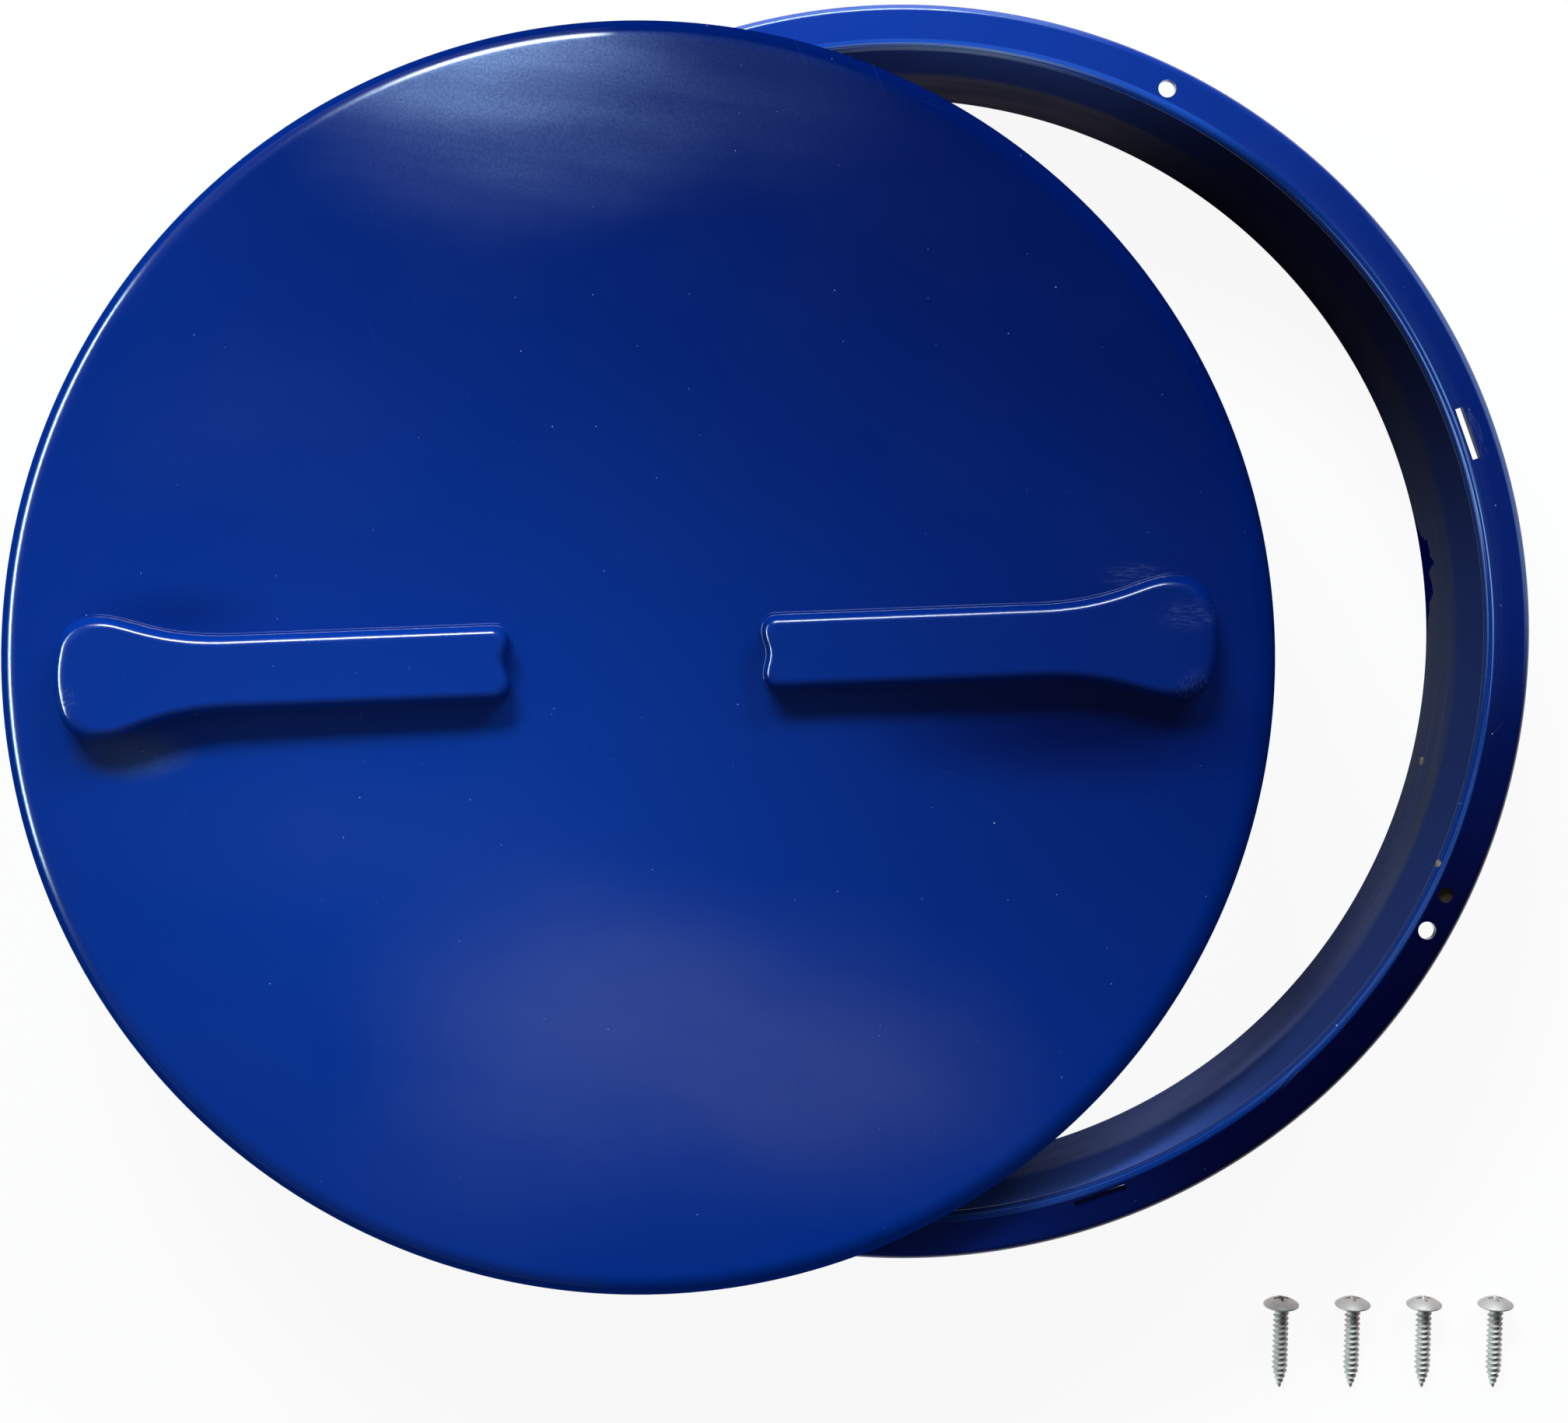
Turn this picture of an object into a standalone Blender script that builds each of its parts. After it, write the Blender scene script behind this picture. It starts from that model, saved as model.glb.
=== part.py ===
"""Water tank lid: a moulded lid with two paddle grips, laid off centre on the neck ring that it closes,
and the four truss-head tapping screws that fix the ring to a tank. Metres, +Z up, standing on Z = 0."""

import math

import bmesh
import bpy
from mathutils import Vector

# Neck ring: a flat flange on a tapering neck.
RING_RADIUS = 0.300
RING_HEIGHT = 0.100
FLANGE_WIDTH = 0.0215
FLANGE_THICKNESS = 0.005
FLANGE_EDGE_ROUND = 0.004
MOUTH_ROUND = 0.0045
NECK_WALL = 0.004
NECK_TAPER = 0.005
NECK_CREASE_HEIGHT = 0.050
NECK_CREASE_STEP = 0.0012
NECK_WEB = 0.0015  # fillet under the flange, and the flange left between the neck and a slot or hole

# Lid: a shallow cap with a crowned top, a rounded rim and a skirt.
LID_OVERHANG = 0.0015
LID_WALL = 0.0035
LID_DEPTH = 0.022
LID_CROWN = 0.003
LID_RIM_ROUND = 0.012
RIB_THICKNESS = 0.003

# Paddle grips, measured outwards from the lid's middle at their foot.
GRIP_INNER_END = 0.0575
GRIP_OUTER_END = 0.273
GRIP_HEIGHT = 0.018
GRIP_DRAFT = 0.003
GRIP_ROUND = 0.003
GRIP_WALL = 0.0035
GRIP_SINK = 0.001  # how far a grip's foot runs into the plate that it stands on
GRIP_HALF_WIDTH = 0.0188
PADDLE_HALF_WIDTH = 0.0301
PADDLE_LENGTH = 0.085
PADDLE_CORNER = 0.017
PADDLE_CORNER_TURN = math.radians(73)
FLARE_LEAVING = 0.58  # how far along the flare its curve's handles reach, from the shaft and to the paddle
FLARE_ARRIVING = 0.74
INNER_CORNER = 0.007
INNER_NOTCH = 0.0018

# Hooks under the lid, and the slots that they pass.
HOOK_COUNT = 4
HOOK_LENGTH = 0.022
HOOK_STEM = 0.010
HOOK_THICKNESS = 0.003
HOOK_TOE = 0.0035
HOOK_RUN_CLEARANCE = 0.0005
HOOK_ANGLE_FROM_GRIPS = math.radians(45)
SLOT_SIDE_CLEARANCE = 0.00035
SLOT_END_CLEARANCE = 0.00175
SLOT_ANGLE = math.radians(19.3)

# Truss-head tapping screws with a cross recess.
SCREW_COUNT = 4
SCREW_HEAD_RADIUS = 0.009
SCREW_HEAD_HEIGHT = 0.0042
SCREW_HEAD_EDGE = 0.0007
SCREW_THREAD_RADIUS = 0.004
SCREW_ROOT_RADIUS = 0.0029
SCREW_PITCH = 0.0028
SCREW_RIDGE_WIDTH = 0.0017
SCREW_TURNS = 13
SCREW_TIP_LENGTH = 0.008
RECESS_SPAN = 0.0078
RECESS_ARM = 0.0018
RECESS_DEPTH = 0.0030
HOLE_CLEARANCE = 0.00025
SCREW_HOLE_ANGLES = (math.radians(64.0), math.radians(-29.7))
PILOT_HOLE_RADIUS = 0.00365
PILOT_HOLE_DEPTH = 0.003
PILOT_HOLE_ANGLE = math.radians(-25.9)

# How the pieces lie, from the ring's axis.
RESTING_GAP = 0.0003
LID_OFFSET = (-0.1256, -0.0124)
LID_TURN = math.radians(2.2)
SCREW_ROW_START = (0.1973, -0.3440)
SCREW_ROW_SPACING = 0.0365

# Worked out from the sizes above.
BORE_RADIUS = RING_RADIUS - FLANGE_WIDTH
NECK_OUTER_RADIUS = BORE_RADIUS + NECK_WALL
LID_RADIUS = RING_RADIUS + LID_OVERHANG
SLOT_WIDTH = HOOK_THICKNESS + 2 * SLOT_SIDE_CLEARANCE
SLOT_LENGTH = HOOK_LENGTH + 2 * SLOT_END_CLEARANCE
SLOT_CIRCLE = NECK_OUTER_RADIUS + NECK_WEB + SLOT_WIDTH / 2
SCREW_HOLE_RADIUS = SCREW_THREAD_RADIUS + HOLE_CLEARANCE
SCREW_CIRCLE = NECK_OUTER_RADIUS + NECK_WEB + SCREW_HOLE_RADIUS
HOOK_DROP = FLANGE_THICKNESS + HOOK_RUN_CLEARANCE + HOOK_TOE
SCREW_THREAD_LENGTH = SCREW_TURNS * SCREW_PITCH

# Steps around each turned piece and along each curve.
RING_STEPS = 96
LID_STEPS = 96
SCREW_STEPS = 12
HOLE_STEPS = 20
ARC_STEPS = 4
RIM_STEPS = 6
FLARE_STEPS = 8
BEVEL_STEPS = 3
CROWN_STEPS = 4
OVERCUT = 0.002  # how far a cutter runs past the face that it opens
MERGE = 0.00001

BLUE = (0.006, 0.035, 0.30, 1.0)
BLUE_ROUGHNESS = 0.28
STEEL = (0.62, 0.62, 0.63, 1.0)
STEEL_ROUGHNESS = 0.3


def clear_scene():
    for obj in list(bpy.data.objects):
        bpy.data.objects.remove(obj, do_unlink=True)


def collection(name):
    made = bpy.data.collections.new(name)
    bpy.context.scene.collection.children.link(made)
    return made


def material(name, colour, roughness, metallic):
    made = bpy.data.materials.new(name)
    made.use_nodes = True
    shader = made.node_tree.nodes["Principled BSDF"]
    shader.inputs["Base Color"].default_value = colour
    shader.inputs["Roughness"].default_value = roughness
    shader.inputs["Metallic"].default_value = metallic
    return made


def add_object(name, mesh, home, finish=None):
    obj = bpy.data.objects.new(name, mesh)
    home.objects.link(obj)
    if finish:
        mesh.materials.append(finish)
    return obj


def as_cutter(obj, owner, home):
    """Makes obj a helper shape that moves with the piece that it cuts or joins."""
    for holder in list(obj.users_collection):
        holder.objects.unlink(obj)
    home.objects.link(obj)
    obj.parent = owner
    obj.hide_render = True
    obj.display_type = "WIRE"
    return obj


def combine(owner, helpers, operation):
    cut = owner.modifiers.new(operation.lower(), "BOOLEAN")
    cut.operation = operation
    cut.operand_type = "COLLECTION"
    cut.collection = helpers
    cut.solver = "EXACT"


def shade_round(obj, sharp_angle=math.radians(35)):
    obj.data.shade_smooth()
    obj.data.set_sharp_from_angle(angle=sharp_angle)


def arc(centre, radius, start, end, steps):
    """Points (along, up) on an arc, with angles counted from +along towards +up."""
    turns = [start + (end - start) * i / steps for i in range(steps + 1)]
    return [(centre[0] + radius * math.cos(a), centre[1] + radius * math.sin(a)) for a in turns]


def turned(name, profile, closed, steps, home, finish):
    """A profile of (radius, height) points spun round Z. It runs down its outer side."""
    points = [(r, 0.0, z) for r, z in profile]
    edges = [(i, i + 1) for i in range(len(points) - 1)]
    if closed:
        edges.append((len(points) - 1, 0))
    mesh = bpy.data.meshes.new(name)
    mesh.from_pydata(points, edges, [])
    obj = add_object(name, mesh, home, finish)
    spin = obj.modifiers.new("turn", "SCREW")
    spin.axis = "Z"
    spin.angle = 2 * math.pi
    spin.steps = steps
    spin.render_steps = steps
    spin.use_merge_vertices = True
    spin.merge_threshold = MERGE
    spin.use_smooth_shade = True
    return obj


def slab(name, outline, low, high, axes, home):
    """A flat outline of (a, b) points, extruded from low to high. axes names where a, b and the depth go."""
    bm = bmesh.new()
    places = [Vector(), Vector(), Vector()]
    for i, axis in enumerate(axes):
        places[i]["XYZ".index(axis)] = 1.0
    along, across, depth = places
    corners = [bm.verts.new(along * a + across * b + depth * low) for a, b in outline]
    face = bm.faces.new(corners)
    grown = bmesh.ops.extrude_face_region(bm, geom=[face])
    moved = [v for v in grown["geom"] if isinstance(v, bmesh.types.BMVert)]
    bmesh.ops.translate(bm, verts=moved, vec=depth * (high - low))
    bmesh.ops.recalc_face_normals(bm, faces=bm.faces)
    mesh = bpy.data.meshes.new(name)
    bm.to_mesh(mesh)
    bm.free()
    return add_object(name, mesh, home)


def loft(name, rings, home):
    """Skins rings of points, lowest first, and caps both ends."""
    count = len(rings[0])
    points = [p for ring in rings for p in ring]
    faces = [tuple(reversed(range(count)))]
    for level in range(len(rings) - 1):
        base = level * count
        for i in range(count):
            j = (i + 1) % count
            faces.append((base + i, base + j, base + count + j, base + count + i))
    top = (len(rings) - 1) * count
    faces.append(tuple(range(top, top + count)))
    mesh = bpy.data.meshes.new(name)
    mesh.from_pydata(points, [], faces)
    return add_object(name, mesh, home)


def drill(name, radius, depth, home):
    """A cutter whose open end stands OVERCUT above Z = 0 and whose floor is at -depth."""
    bm = bmesh.new()
    bmesh.ops.create_cone(bm, cap_ends=True, segments=HOLE_STEPS, radius1=radius, radius2=radius,
                          depth=depth + OVERCUT)
    bmesh.ops.translate(bm, verts=bm.verts, vec=(0, 0, (OVERCUT - depth) / 2))
    mesh = bpy.data.meshes.new(name)
    bm.to_mesh(mesh)
    bm.free()
    return add_object(name, mesh, home)


def box(name, size, home):
    bm = bmesh.new()
    bmesh.ops.create_cube(bm, size=1.0)
    bmesh.ops.scale(bm, vec=size, verts=bm.verts)
    mesh = bpy.data.meshes.new(name)
    bm.to_mesh(mesh)
    bm.free()
    return add_object(name, mesh, home)


def put_round(obj, radius, angle, height):
    """Places obj on a circle, with its own X pointing outwards."""
    obj.location = (radius * math.cos(angle), radius * math.sin(angle), height)
    obj.rotation_euler = (0, 0, angle)


def ring_profile():
    """The closed section of the ring, down its outer side and up the bore."""
    flange_top = RING_HEIGHT
    flange_under = RING_HEIGHT - FLANGE_THICKNESS
    foot_radius = BORE_RADIUS - NECK_TAPER
    crease_radius = foot_radius + NECK_TAPER * NECK_CREASE_HEIGHT / RING_HEIGHT + NECK_CREASE_STEP / 2
    edge = arc((RING_RADIUS - FLANGE_EDGE_ROUND, flange_top - FLANGE_EDGE_ROUND),
               FLANGE_EDGE_ROUND, math.pi / 2, 0, ARC_STEPS)
    fillet = arc((NECK_OUTER_RADIUS + NECK_WEB, flange_under - NECK_WEB),
                 NECK_WEB, math.pi / 2, math.pi, ARC_STEPS // 2)
    neck = [
        (crease_radius + NECK_WALL, NECK_CREASE_HEIGHT),
        (foot_radius + NECK_WALL, 0.0),
        (foot_radius, 0.0),
        (crease_radius - NECK_CREASE_STEP, NECK_CREASE_HEIGHT),
        (crease_radius, NECK_CREASE_HEIGHT + NECK_CREASE_STEP),
    ]
    mouth = arc((BORE_RADIUS + MOUTH_ROUND, flange_top - MOUTH_ROUND),
                MOUTH_ROUND, math.pi, math.pi / 2, ARC_STEPS)
    return edge + [(RING_RADIUS, flange_under)] + fillet + neck + mouth


def build_ring(home, cutters, finish):
    ring = turned("neck_ring", ring_profile(), True, RING_STEPS, home, finish)
    through = FLANGE_THICKNESS + OVERCUT
    for i in range(HOOK_COUNT):
        slot = box(f"slot_cutter_{i + 1}", (SLOT_WIDTH, SLOT_LENGTH, 2 * through), cutters)
        put_round(slot, SLOT_CIRCLE, SLOT_ANGLE + 2 * math.pi * i / HOOK_COUNT, RING_HEIGHT)
        as_cutter(slot, ring, cutters)
    for i, angle in enumerate(SCREW_HOLE_ANGLES):
        for side in range(2):
            hole = drill(f"hole_cutter_{2 * i + side + 1}", SCREW_HOLE_RADIUS, through, cutters)
            put_round(hole, SCREW_CIRCLE, angle + math.pi * side, RING_HEIGHT)
            as_cutter(hole, ring, cutters)
    pilot = drill("pilot_cutter", PILOT_HOLE_RADIUS, PILOT_HOLE_DEPTH, cutters)
    put_round(pilot, SCREW_CIRCLE, PILOT_HOLE_ANGLE, RING_HEIGHT)
    as_cutter(pilot, ring, cutters)
    combine(ring, cutters, "DIFFERENCE")
    return ring


def lid_line(inset):
    """The lid's outer surface moved inwards by inset, from the middle out and down the skirt."""
    shoulder = LID_RADIUS - LID_RIM_ROUND
    crown = []
    for i in range(CROWN_STEPS):
        r = shoulder * i / CROWN_STEPS
        crown.append((r, LID_DEPTH - inset + LID_CROWN * (1 - (r / shoulder) ** 2)))
    rim = arc((shoulder, LID_DEPTH - LID_RIM_ROUND), LID_RIM_ROUND - inset, math.pi / 2, 0, RIM_STEPS)
    return crown + rim + [(LID_RADIUS - inset, 0.0)]


def bezier(a, b, c, d, steps):
    made = []
    for i in range(steps + 1):
        t = i / steps
        s = 1 - t
        weights = (s ** 3, 3 * s * s * t, 3 * s * t * t, t ** 3)
        made.append(tuple(sum(w * p[k] for w, p in zip(weights, (a, b, c, d))) for k in range(2)))
    return made


def grip_half_line():
    """One side of a grip's foot, as (outwards, sideways), from the inner end's middle to the outer tip."""
    notch_half = GRIP_HALF_WIDTH - INNER_CORNER
    line = []
    for i in range(ARC_STEPS):
        side = notch_half * i / ARC_STEPS
        wave = 0.5 * (1 + math.cos(math.pi * side / notch_half))
        line.append((GRIP_INNER_END + INNER_NOTCH * wave, side))
    line += arc((GRIP_INNER_END + INNER_CORNER, notch_half), INNER_CORNER, math.pi, math.pi / 2, ARC_STEPS)
    # The tip is an arc centred on the grip's axis that meets the corner's arc where both face alike.
    turn_left = math.pi / 2 - PADDLE_CORNER_TURN
    corner_side = PADDLE_HALF_WIDTH - PADDLE_CORNER
    join_side = corner_side + PADDLE_CORNER * math.sin(turn_left)
    tip_radius = join_side / math.sin(turn_left)
    tip_centre = GRIP_OUTER_END - tip_radius
    corner_along = tip_centre + (tip_radius - PADDLE_CORNER) * math.cos(turn_left)
    flare_start = GRIP_OUTER_END - PADDLE_LENGTH
    flare = corner_along - flare_start
    line += bezier((flare_start, GRIP_HALF_WIDTH),
                   (flare_start + FLARE_LEAVING * flare, GRIP_HALF_WIDTH),
                   (flare_start + FLARE_ARRIVING * flare, PADDLE_HALF_WIDTH),
                   (corner_along, PADDLE_HALF_WIDTH), FLARE_STEPS)
    line += arc((corner_along, corner_side), PADDLE_CORNER, math.pi / 2, turn_left, ARC_STEPS)[1:]
    line += arc((tip_centre, 0.0), tip_radius, turn_left, 0, ARC_STEPS // 2)[1:]
    return line


def grip_outline(shrink):
    """The closed outline of a grip, moved inwards by shrink, anticlockwise seen from above."""
    half = grip_half_line()
    line = [(a, -s) for a, s in half] + [(a, s) for a, s in reversed(half[1:-1])]
    moved = []
    for i, (a, s) in enumerate(line):
        before = line[i - 1]
        after = line[(i + 1) % len(line)]
        run = Vector((after[0] - before[0], after[1] - before[1])).normalized()
        moved.append((a - run.y * shrink, s + run.x * shrink))
    return moved


def round_top_edge(obj, height, width):
    """Rounds the edges of obj's top face."""
    weights = obj.data.attributes.new("bevel_weight_edge", "FLOAT", "EDGE")
    for edge in obj.data.edges:
        ends = [obj.data.vertices[v].co.z for v in edge.vertices]
        weights.data[edge.index].value = 1.0 if min(ends) > height - MERGE else 0.0
    bevel = obj.modifiers.new("rounding", "BEVEL")
    bevel.limit_method = "WEIGHT"
    bevel.width = width
    bevel.segments = BEVEL_STEPS


def grip_shape(name, wall, bottom, top, home):
    """A grip's solid, or with a wall the hollow inside it."""
    low = [(a, s, bottom) for a, s in grip_outline(wall)]
    high = [(a, s, top) for a, s in grip_outline(wall + GRIP_DRAFT)]
    return loft(name, [low, high], home)


def build_lid(home, additions, hollows, finish):
    profile = lid_line(0.0) + list(reversed(lid_line(LID_WALL)))
    lid = turned("lid", profile, False, LID_STEPS, home, finish)
    grip_top = LID_DEPTH + GRIP_HEIGHT
    for i in range(2):
        grip = grip_shape(f"grip_{i + 1}", 0.0, LID_DEPTH - GRIP_SINK, grip_top, additions)
        round_top_edge(grip, grip_top, GRIP_ROUND)
        hollow = grip_shape(f"grip_hollow_{i + 1}", GRIP_WALL, LID_DEPTH / 2, grip_top - GRIP_WALL, hollows)
        for shape, group in ((grip, additions), (hollow, hollows)):
            shape.rotation_euler = (0, 0, math.pi * i)
            as_cutter(shape, lid, group)
    rib_line = lid_line(LID_WALL / 2)
    rib_outline = [(-r, z) for r, z in reversed(rib_line[1:])] + rib_line
    for i in range(HOOK_COUNT // 2):
        rib = slab(f"rib_{i + 1}", rib_outline, -RIB_THICKNESS / 2, RIB_THICKNESS / 2, "XZY", additions)
        rib.rotation_euler = (0, 0, HOOK_ANGLE_FROM_GRIPS + 2 * math.pi * i / HOOK_COUNT)
        as_cutter(rib, lid, additions)
    stem_end = HOOK_STEM - HOOK_LENGTH / 2
    hook_outline = [
        (-HOOK_LENGTH / 2, LID_DEPTH - LID_WALL / 2),
        (-HOOK_LENGTH / 2, -HOOK_DROP),
        (HOOK_LENGTH / 2, -HOOK_DROP),
        (HOOK_LENGTH / 2, HOOK_TOE - HOOK_DROP),
        (stem_end, HOOK_TOE - HOOK_DROP),
        (stem_end, LID_DEPTH - LID_WALL / 2),
    ]
    for i in range(HOOK_COUNT):
        hook = slab(f"hook_{i + 1}", hook_outline, -HOOK_THICKNESS / 2, HOOK_THICKNESS / 2, "YZX", additions)
        put_round(hook, SLOT_CIRCLE, HOOK_ANGLE_FROM_GRIPS + 2 * math.pi * i / HOOK_COUNT, 0.0)
        as_cutter(hook, lid, additions)
    combine(lid, additions, "UNION")
    combine(lid, hollows, "DIFFERENCE")
    lid.location = (*LID_OFFSET, RING_HEIGHT + RESTING_GAP)
    lid.rotation_euler = (0, 0, LID_TURN)
    return lid


def screw_profile():
    """Half of a screw's section, from its head's middle to its tip. The head's underside is at Z = 0."""
    cap = SCREW_HEAD_HEIGHT - SCREW_HEAD_EDGE
    dome_radius = (SCREW_HEAD_RADIUS ** 2 + cap ** 2) / (2 * cap)
    rim_turn = math.asin(SCREW_HEAD_RADIUS / dome_radius)
    dome = arc((0.0, SCREW_HEAD_HEIGHT - dome_radius), dome_radius, math.pi / 2,
               math.pi / 2 - rim_turn, ARC_STEPS)
    line = dome + [(SCREW_HEAD_RADIUS, 0.0), (SCREW_ROOT_RADIUS, 0.0)]
    for turn in range(SCREW_TURNS):
        crest = SCREW_PITCH / 2 - (turn + 1) * SCREW_PITCH
        line += [(SCREW_ROOT_RADIUS, crest + SCREW_RIDGE_WIDTH / 2), (SCREW_THREAD_RADIUS, crest),
                 (SCREW_ROOT_RADIUS, crest - SCREW_RIDGE_WIDTH / 2)]
    line += [(SCREW_ROOT_RADIUS, -SCREW_THREAD_LENGTH), (0.0, -SCREW_THREAD_LENGTH - SCREW_TIP_LENGTH)]
    return line


def build_screw(index, home, recess, finish):
    """A screw lying on the ground, on its head's rim and its last full thread, with its point towards -Y."""
    screw = turned(f"screw_{index + 1}", screw_profile(), False, SCREW_STEPS, home, finish)
    for arm in range(2):
        bar = box(f"recess_{index + 1}_{arm + 1}", (RECESS_SPAN, RECESS_ARM, 2 * RECESS_DEPTH), recess)
        bar.location = (0, 0, SCREW_HEAD_HEIGHT)
        bar.rotation_euler = (0, 0, arm * math.pi / 2)
        as_cutter(bar, screw, recess)
    combine(screw, recess, "DIFFERENCE")
    last_crest = SCREW_THREAD_LENGTH - SCREW_PITCH / 2
    dip = math.atan2(SCREW_HEAD_RADIUS - SCREW_THREAD_RADIUS, last_crest)
    screw.rotation_euler = (dip - math.pi / 2, 0, 0)
    screw.location = (SCREW_ROW_START[0] + index * SCREW_ROW_SPACING, SCREW_ROW_START[1],
                      SCREW_HEAD_RADIUS * math.cos(dip))
    return screw


def centre_over_origin(stand, pieces):
    """Slides the whole set so that the middle of its box is over the origin."""
    bpy.context.view_layer.update()
    graph = bpy.context.evaluated_depsgraph_get()
    corners = []
    for piece in pieces:
        shown = piece.evaluated_get(graph)
        mesh = shown.to_mesh()
        corners += [shown.matrix_world @ v.co for v in mesh.vertices]
        shown.to_mesh_clear()
    for axis in range(2):
        spread = [corner[axis] for corner in corners]
        stand.location[axis] = -(min(spread) + max(spread)) / 2


def main():
    clear_scene()
    home = collection("water_tank_lid")
    blue = material("blue_gelcoat", BLUE, BLUE_ROUGHNESS, 0.0)
    steel = material("zinc_steel", STEEL, STEEL_ROUGHNESS, 1.0)
    ring = build_ring(home, collection("ring_cutters"), blue)
    lid = build_lid(home, collection("lid_additions"), collection("lid_hollows"), blue)
    screws = [build_screw(i, home, collection(f"screw_{i + 1}_recess"), steel) for i in range(SCREW_COUNT)]
    pieces = [ring, lid, *screws]
    stand = bpy.data.objects.new("stand", None)
    home.objects.link(stand)
    for piece in pieces:
        shade_round(piece)
        piece.parent = stand
    centre_over_origin(stand, pieces)


main()
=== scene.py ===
"""Looks of the water tank lid: the blue gelcoat of the lid and the neck ring with its wear, the
zinc-plated screws, the pale floor, the light and the camera. Metres, +Z up."""

import math

import bmesh
import bpy
from mathutils import Matrix, Vector


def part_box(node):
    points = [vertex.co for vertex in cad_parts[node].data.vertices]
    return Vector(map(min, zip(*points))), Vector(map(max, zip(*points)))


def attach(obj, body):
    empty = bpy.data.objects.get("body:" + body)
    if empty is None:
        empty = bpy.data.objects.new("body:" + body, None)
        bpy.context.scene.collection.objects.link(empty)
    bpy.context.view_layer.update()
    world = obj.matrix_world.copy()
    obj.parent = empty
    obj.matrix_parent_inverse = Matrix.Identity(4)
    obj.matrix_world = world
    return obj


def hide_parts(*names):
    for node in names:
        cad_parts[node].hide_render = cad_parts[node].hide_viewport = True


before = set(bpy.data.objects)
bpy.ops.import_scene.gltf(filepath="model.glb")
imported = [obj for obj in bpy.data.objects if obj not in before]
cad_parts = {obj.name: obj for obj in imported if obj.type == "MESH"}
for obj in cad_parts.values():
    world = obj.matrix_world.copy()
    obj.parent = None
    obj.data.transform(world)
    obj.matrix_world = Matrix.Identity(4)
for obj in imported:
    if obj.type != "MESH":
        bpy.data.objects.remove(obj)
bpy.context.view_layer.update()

# The photograph: its size in pixels, the lens's height over the ground, and the pixels that show the
# point straight below the lens and the ring's axis.
PHOTO_WIDTH = 2016
PHOTO_HEIGHT = 1829
LENS_HEIGHT = 1.400
METRES_PER_PIXEL = 0.0003713  # at the flange's top
BELOW_LENS = (1008, 820)
RING_AXIS_PIXEL = (1160.6, 811.5)
SENSOR_WIDTH = 36.0

# Sizes read from the solids that the pieces stand for.
lid_low, lid_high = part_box("lid")
ring_low, ring_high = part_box("neck_ring")
LID_RADIUS = (lid_high.x - lid_low.x) / 2
RING_RADIUS = (ring_high.x - ring_low.x) / 2
RING_HEIGHT = ring_high.z

# Neck ring, as in the solids.
FLANGE_WIDTH = 0.0215
FLANGE_THICKNESS = 0.005
FLANGE_EDGE_ROUND = 0.004
MOUTH_ROUND = 0.0045
NECK_WALL = 0.004
NECK_TAPER = 0.005
NECK_CREASE_HEIGHT = 0.050
NECK_WEB = 0.0015
BORE_RADIUS = RING_RADIUS - FLANGE_WIDTH
NECK_OUTER_RADIUS = BORE_RADIUS + NECK_WALL

# Lid, as in the solids.
RESTING_GAP = 0.0003
LID_TURN = math.radians(2.2)
LID_WALL = 0.0035
LID_DEPTH = 0.022
LID_CROWN = 0.003
LID_RIM_ROUND = 0.012
LID_EDGE_ROUND = 0.0008
RIB_THICKNESS = 0.003

# Grips, measured outwards from the lid's middle at their foot.
GRIP_INNER_END = 0.0575
GRIP_OUTER_END = 0.273
GRIP_RISE = lid_high.z - RING_HEIGHT - RESTING_GAP  # from the lid's lower edge to the grips' top
GRIP_DRAFT = 0.0018
GRIP_ROUND = 0.0048
GRIP_TIP_ROUND = 0.0080
GRIP_TIP_START = 0.240  # the rounding grows to the tip's from here
GRIP_TIP_FULL = 0.264  # to here
GRIP_WALL = 0.0035
GRIP_HALF_WIDTH = 0.0188
PADDLE_HALF_WIDTH = 0.0301
PADDLE_LENGTH = 0.085
PADDLE_CORNER = 0.017
PADDLE_CORNER_TURN = math.radians(73)
FLARE_LEAVING = 0.58
FLARE_ARRIVING = 0.74
INNER_CORNER = 0.008
INNER_NOTCH = 0.0018
CORNER_TIGHTENING = 0.6  # how much of an inset comes off a corner's radius
FOOT_FILLET = 0.0005
FOOT_LEDGE = 0.0010
FOOT_LEDGE_HEIGHT = 0.0005
FOOT_DEPTH = 0.0015

# Hooks, slots and holes.
HOOK_TURNS = [math.radians(a) for a in (0, 90, 180, 270)]
HOOK_LENGTH = 0.022
HOOK_STEM = 0.010
HOOK_THICKNESS = 0.003
HOOK_TOE = 0.0035
HOOK_CLEARANCE = 0.0005
HOOK_DROP = FLANGE_THICKNESS + HOOK_CLEARANCE + HOOK_TOE
HOOK_ANGLE_FROM_GRIPS = math.radians(45)
SLOT_WIDTH = 0.0037
SLOT_LENGTH = 0.0255
SLOT_ANGLE = math.radians(19.3)
SLOT_CIRCLE = NECK_OUTER_RADIUS + NECK_WEB + SLOT_WIDTH / 2
# A thin sheet across the near slot, put there for the shade seen through the slot: painted shade.
SHADE_SHEET_GAP = 0.0001
SHADE_SHEET_OVERLAP = 0.0003
SHADE_SHEET_THICKNESS = 0.0007
SHADE_SHEET_DEPTH = 0.0024
SHADE_SHEET_TWIST = math.radians(-1.5)
SCREW_HOLE_RADIUS = 0.00425
SCREW_CIRCLE = NECK_OUTER_RADIUS + NECK_WEB + SCREW_HOLE_RADIUS
SCREW_HOLE_ANGLES = (math.radians(64.0), math.radians(-29.7))
PILOT_HOLE_RADIUS = 0.00365
PILOT_HOLE_DEPTH = 0.003
PILOT_HOLE_ANGLE = math.radians(-25.9)
# How far the pilot hole's floor is painted dark brown, as painted shade.
PILOT_SHADE_REACH = 1.35 * PILOT_HOLE_RADIUS

# Grit on the ring: on its mouth, by radius, angle and height, and low on the neck's inner wall.
MOUTH_GRIT = (BORE_RADIUS + 0.0006, math.radians(-23.4), RING_HEIGHT - 0.0030)
WALL_GRIT_ANGLE = math.radians(-13.8)
WALL_GRIT_HEIGHT = 0.019

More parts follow.
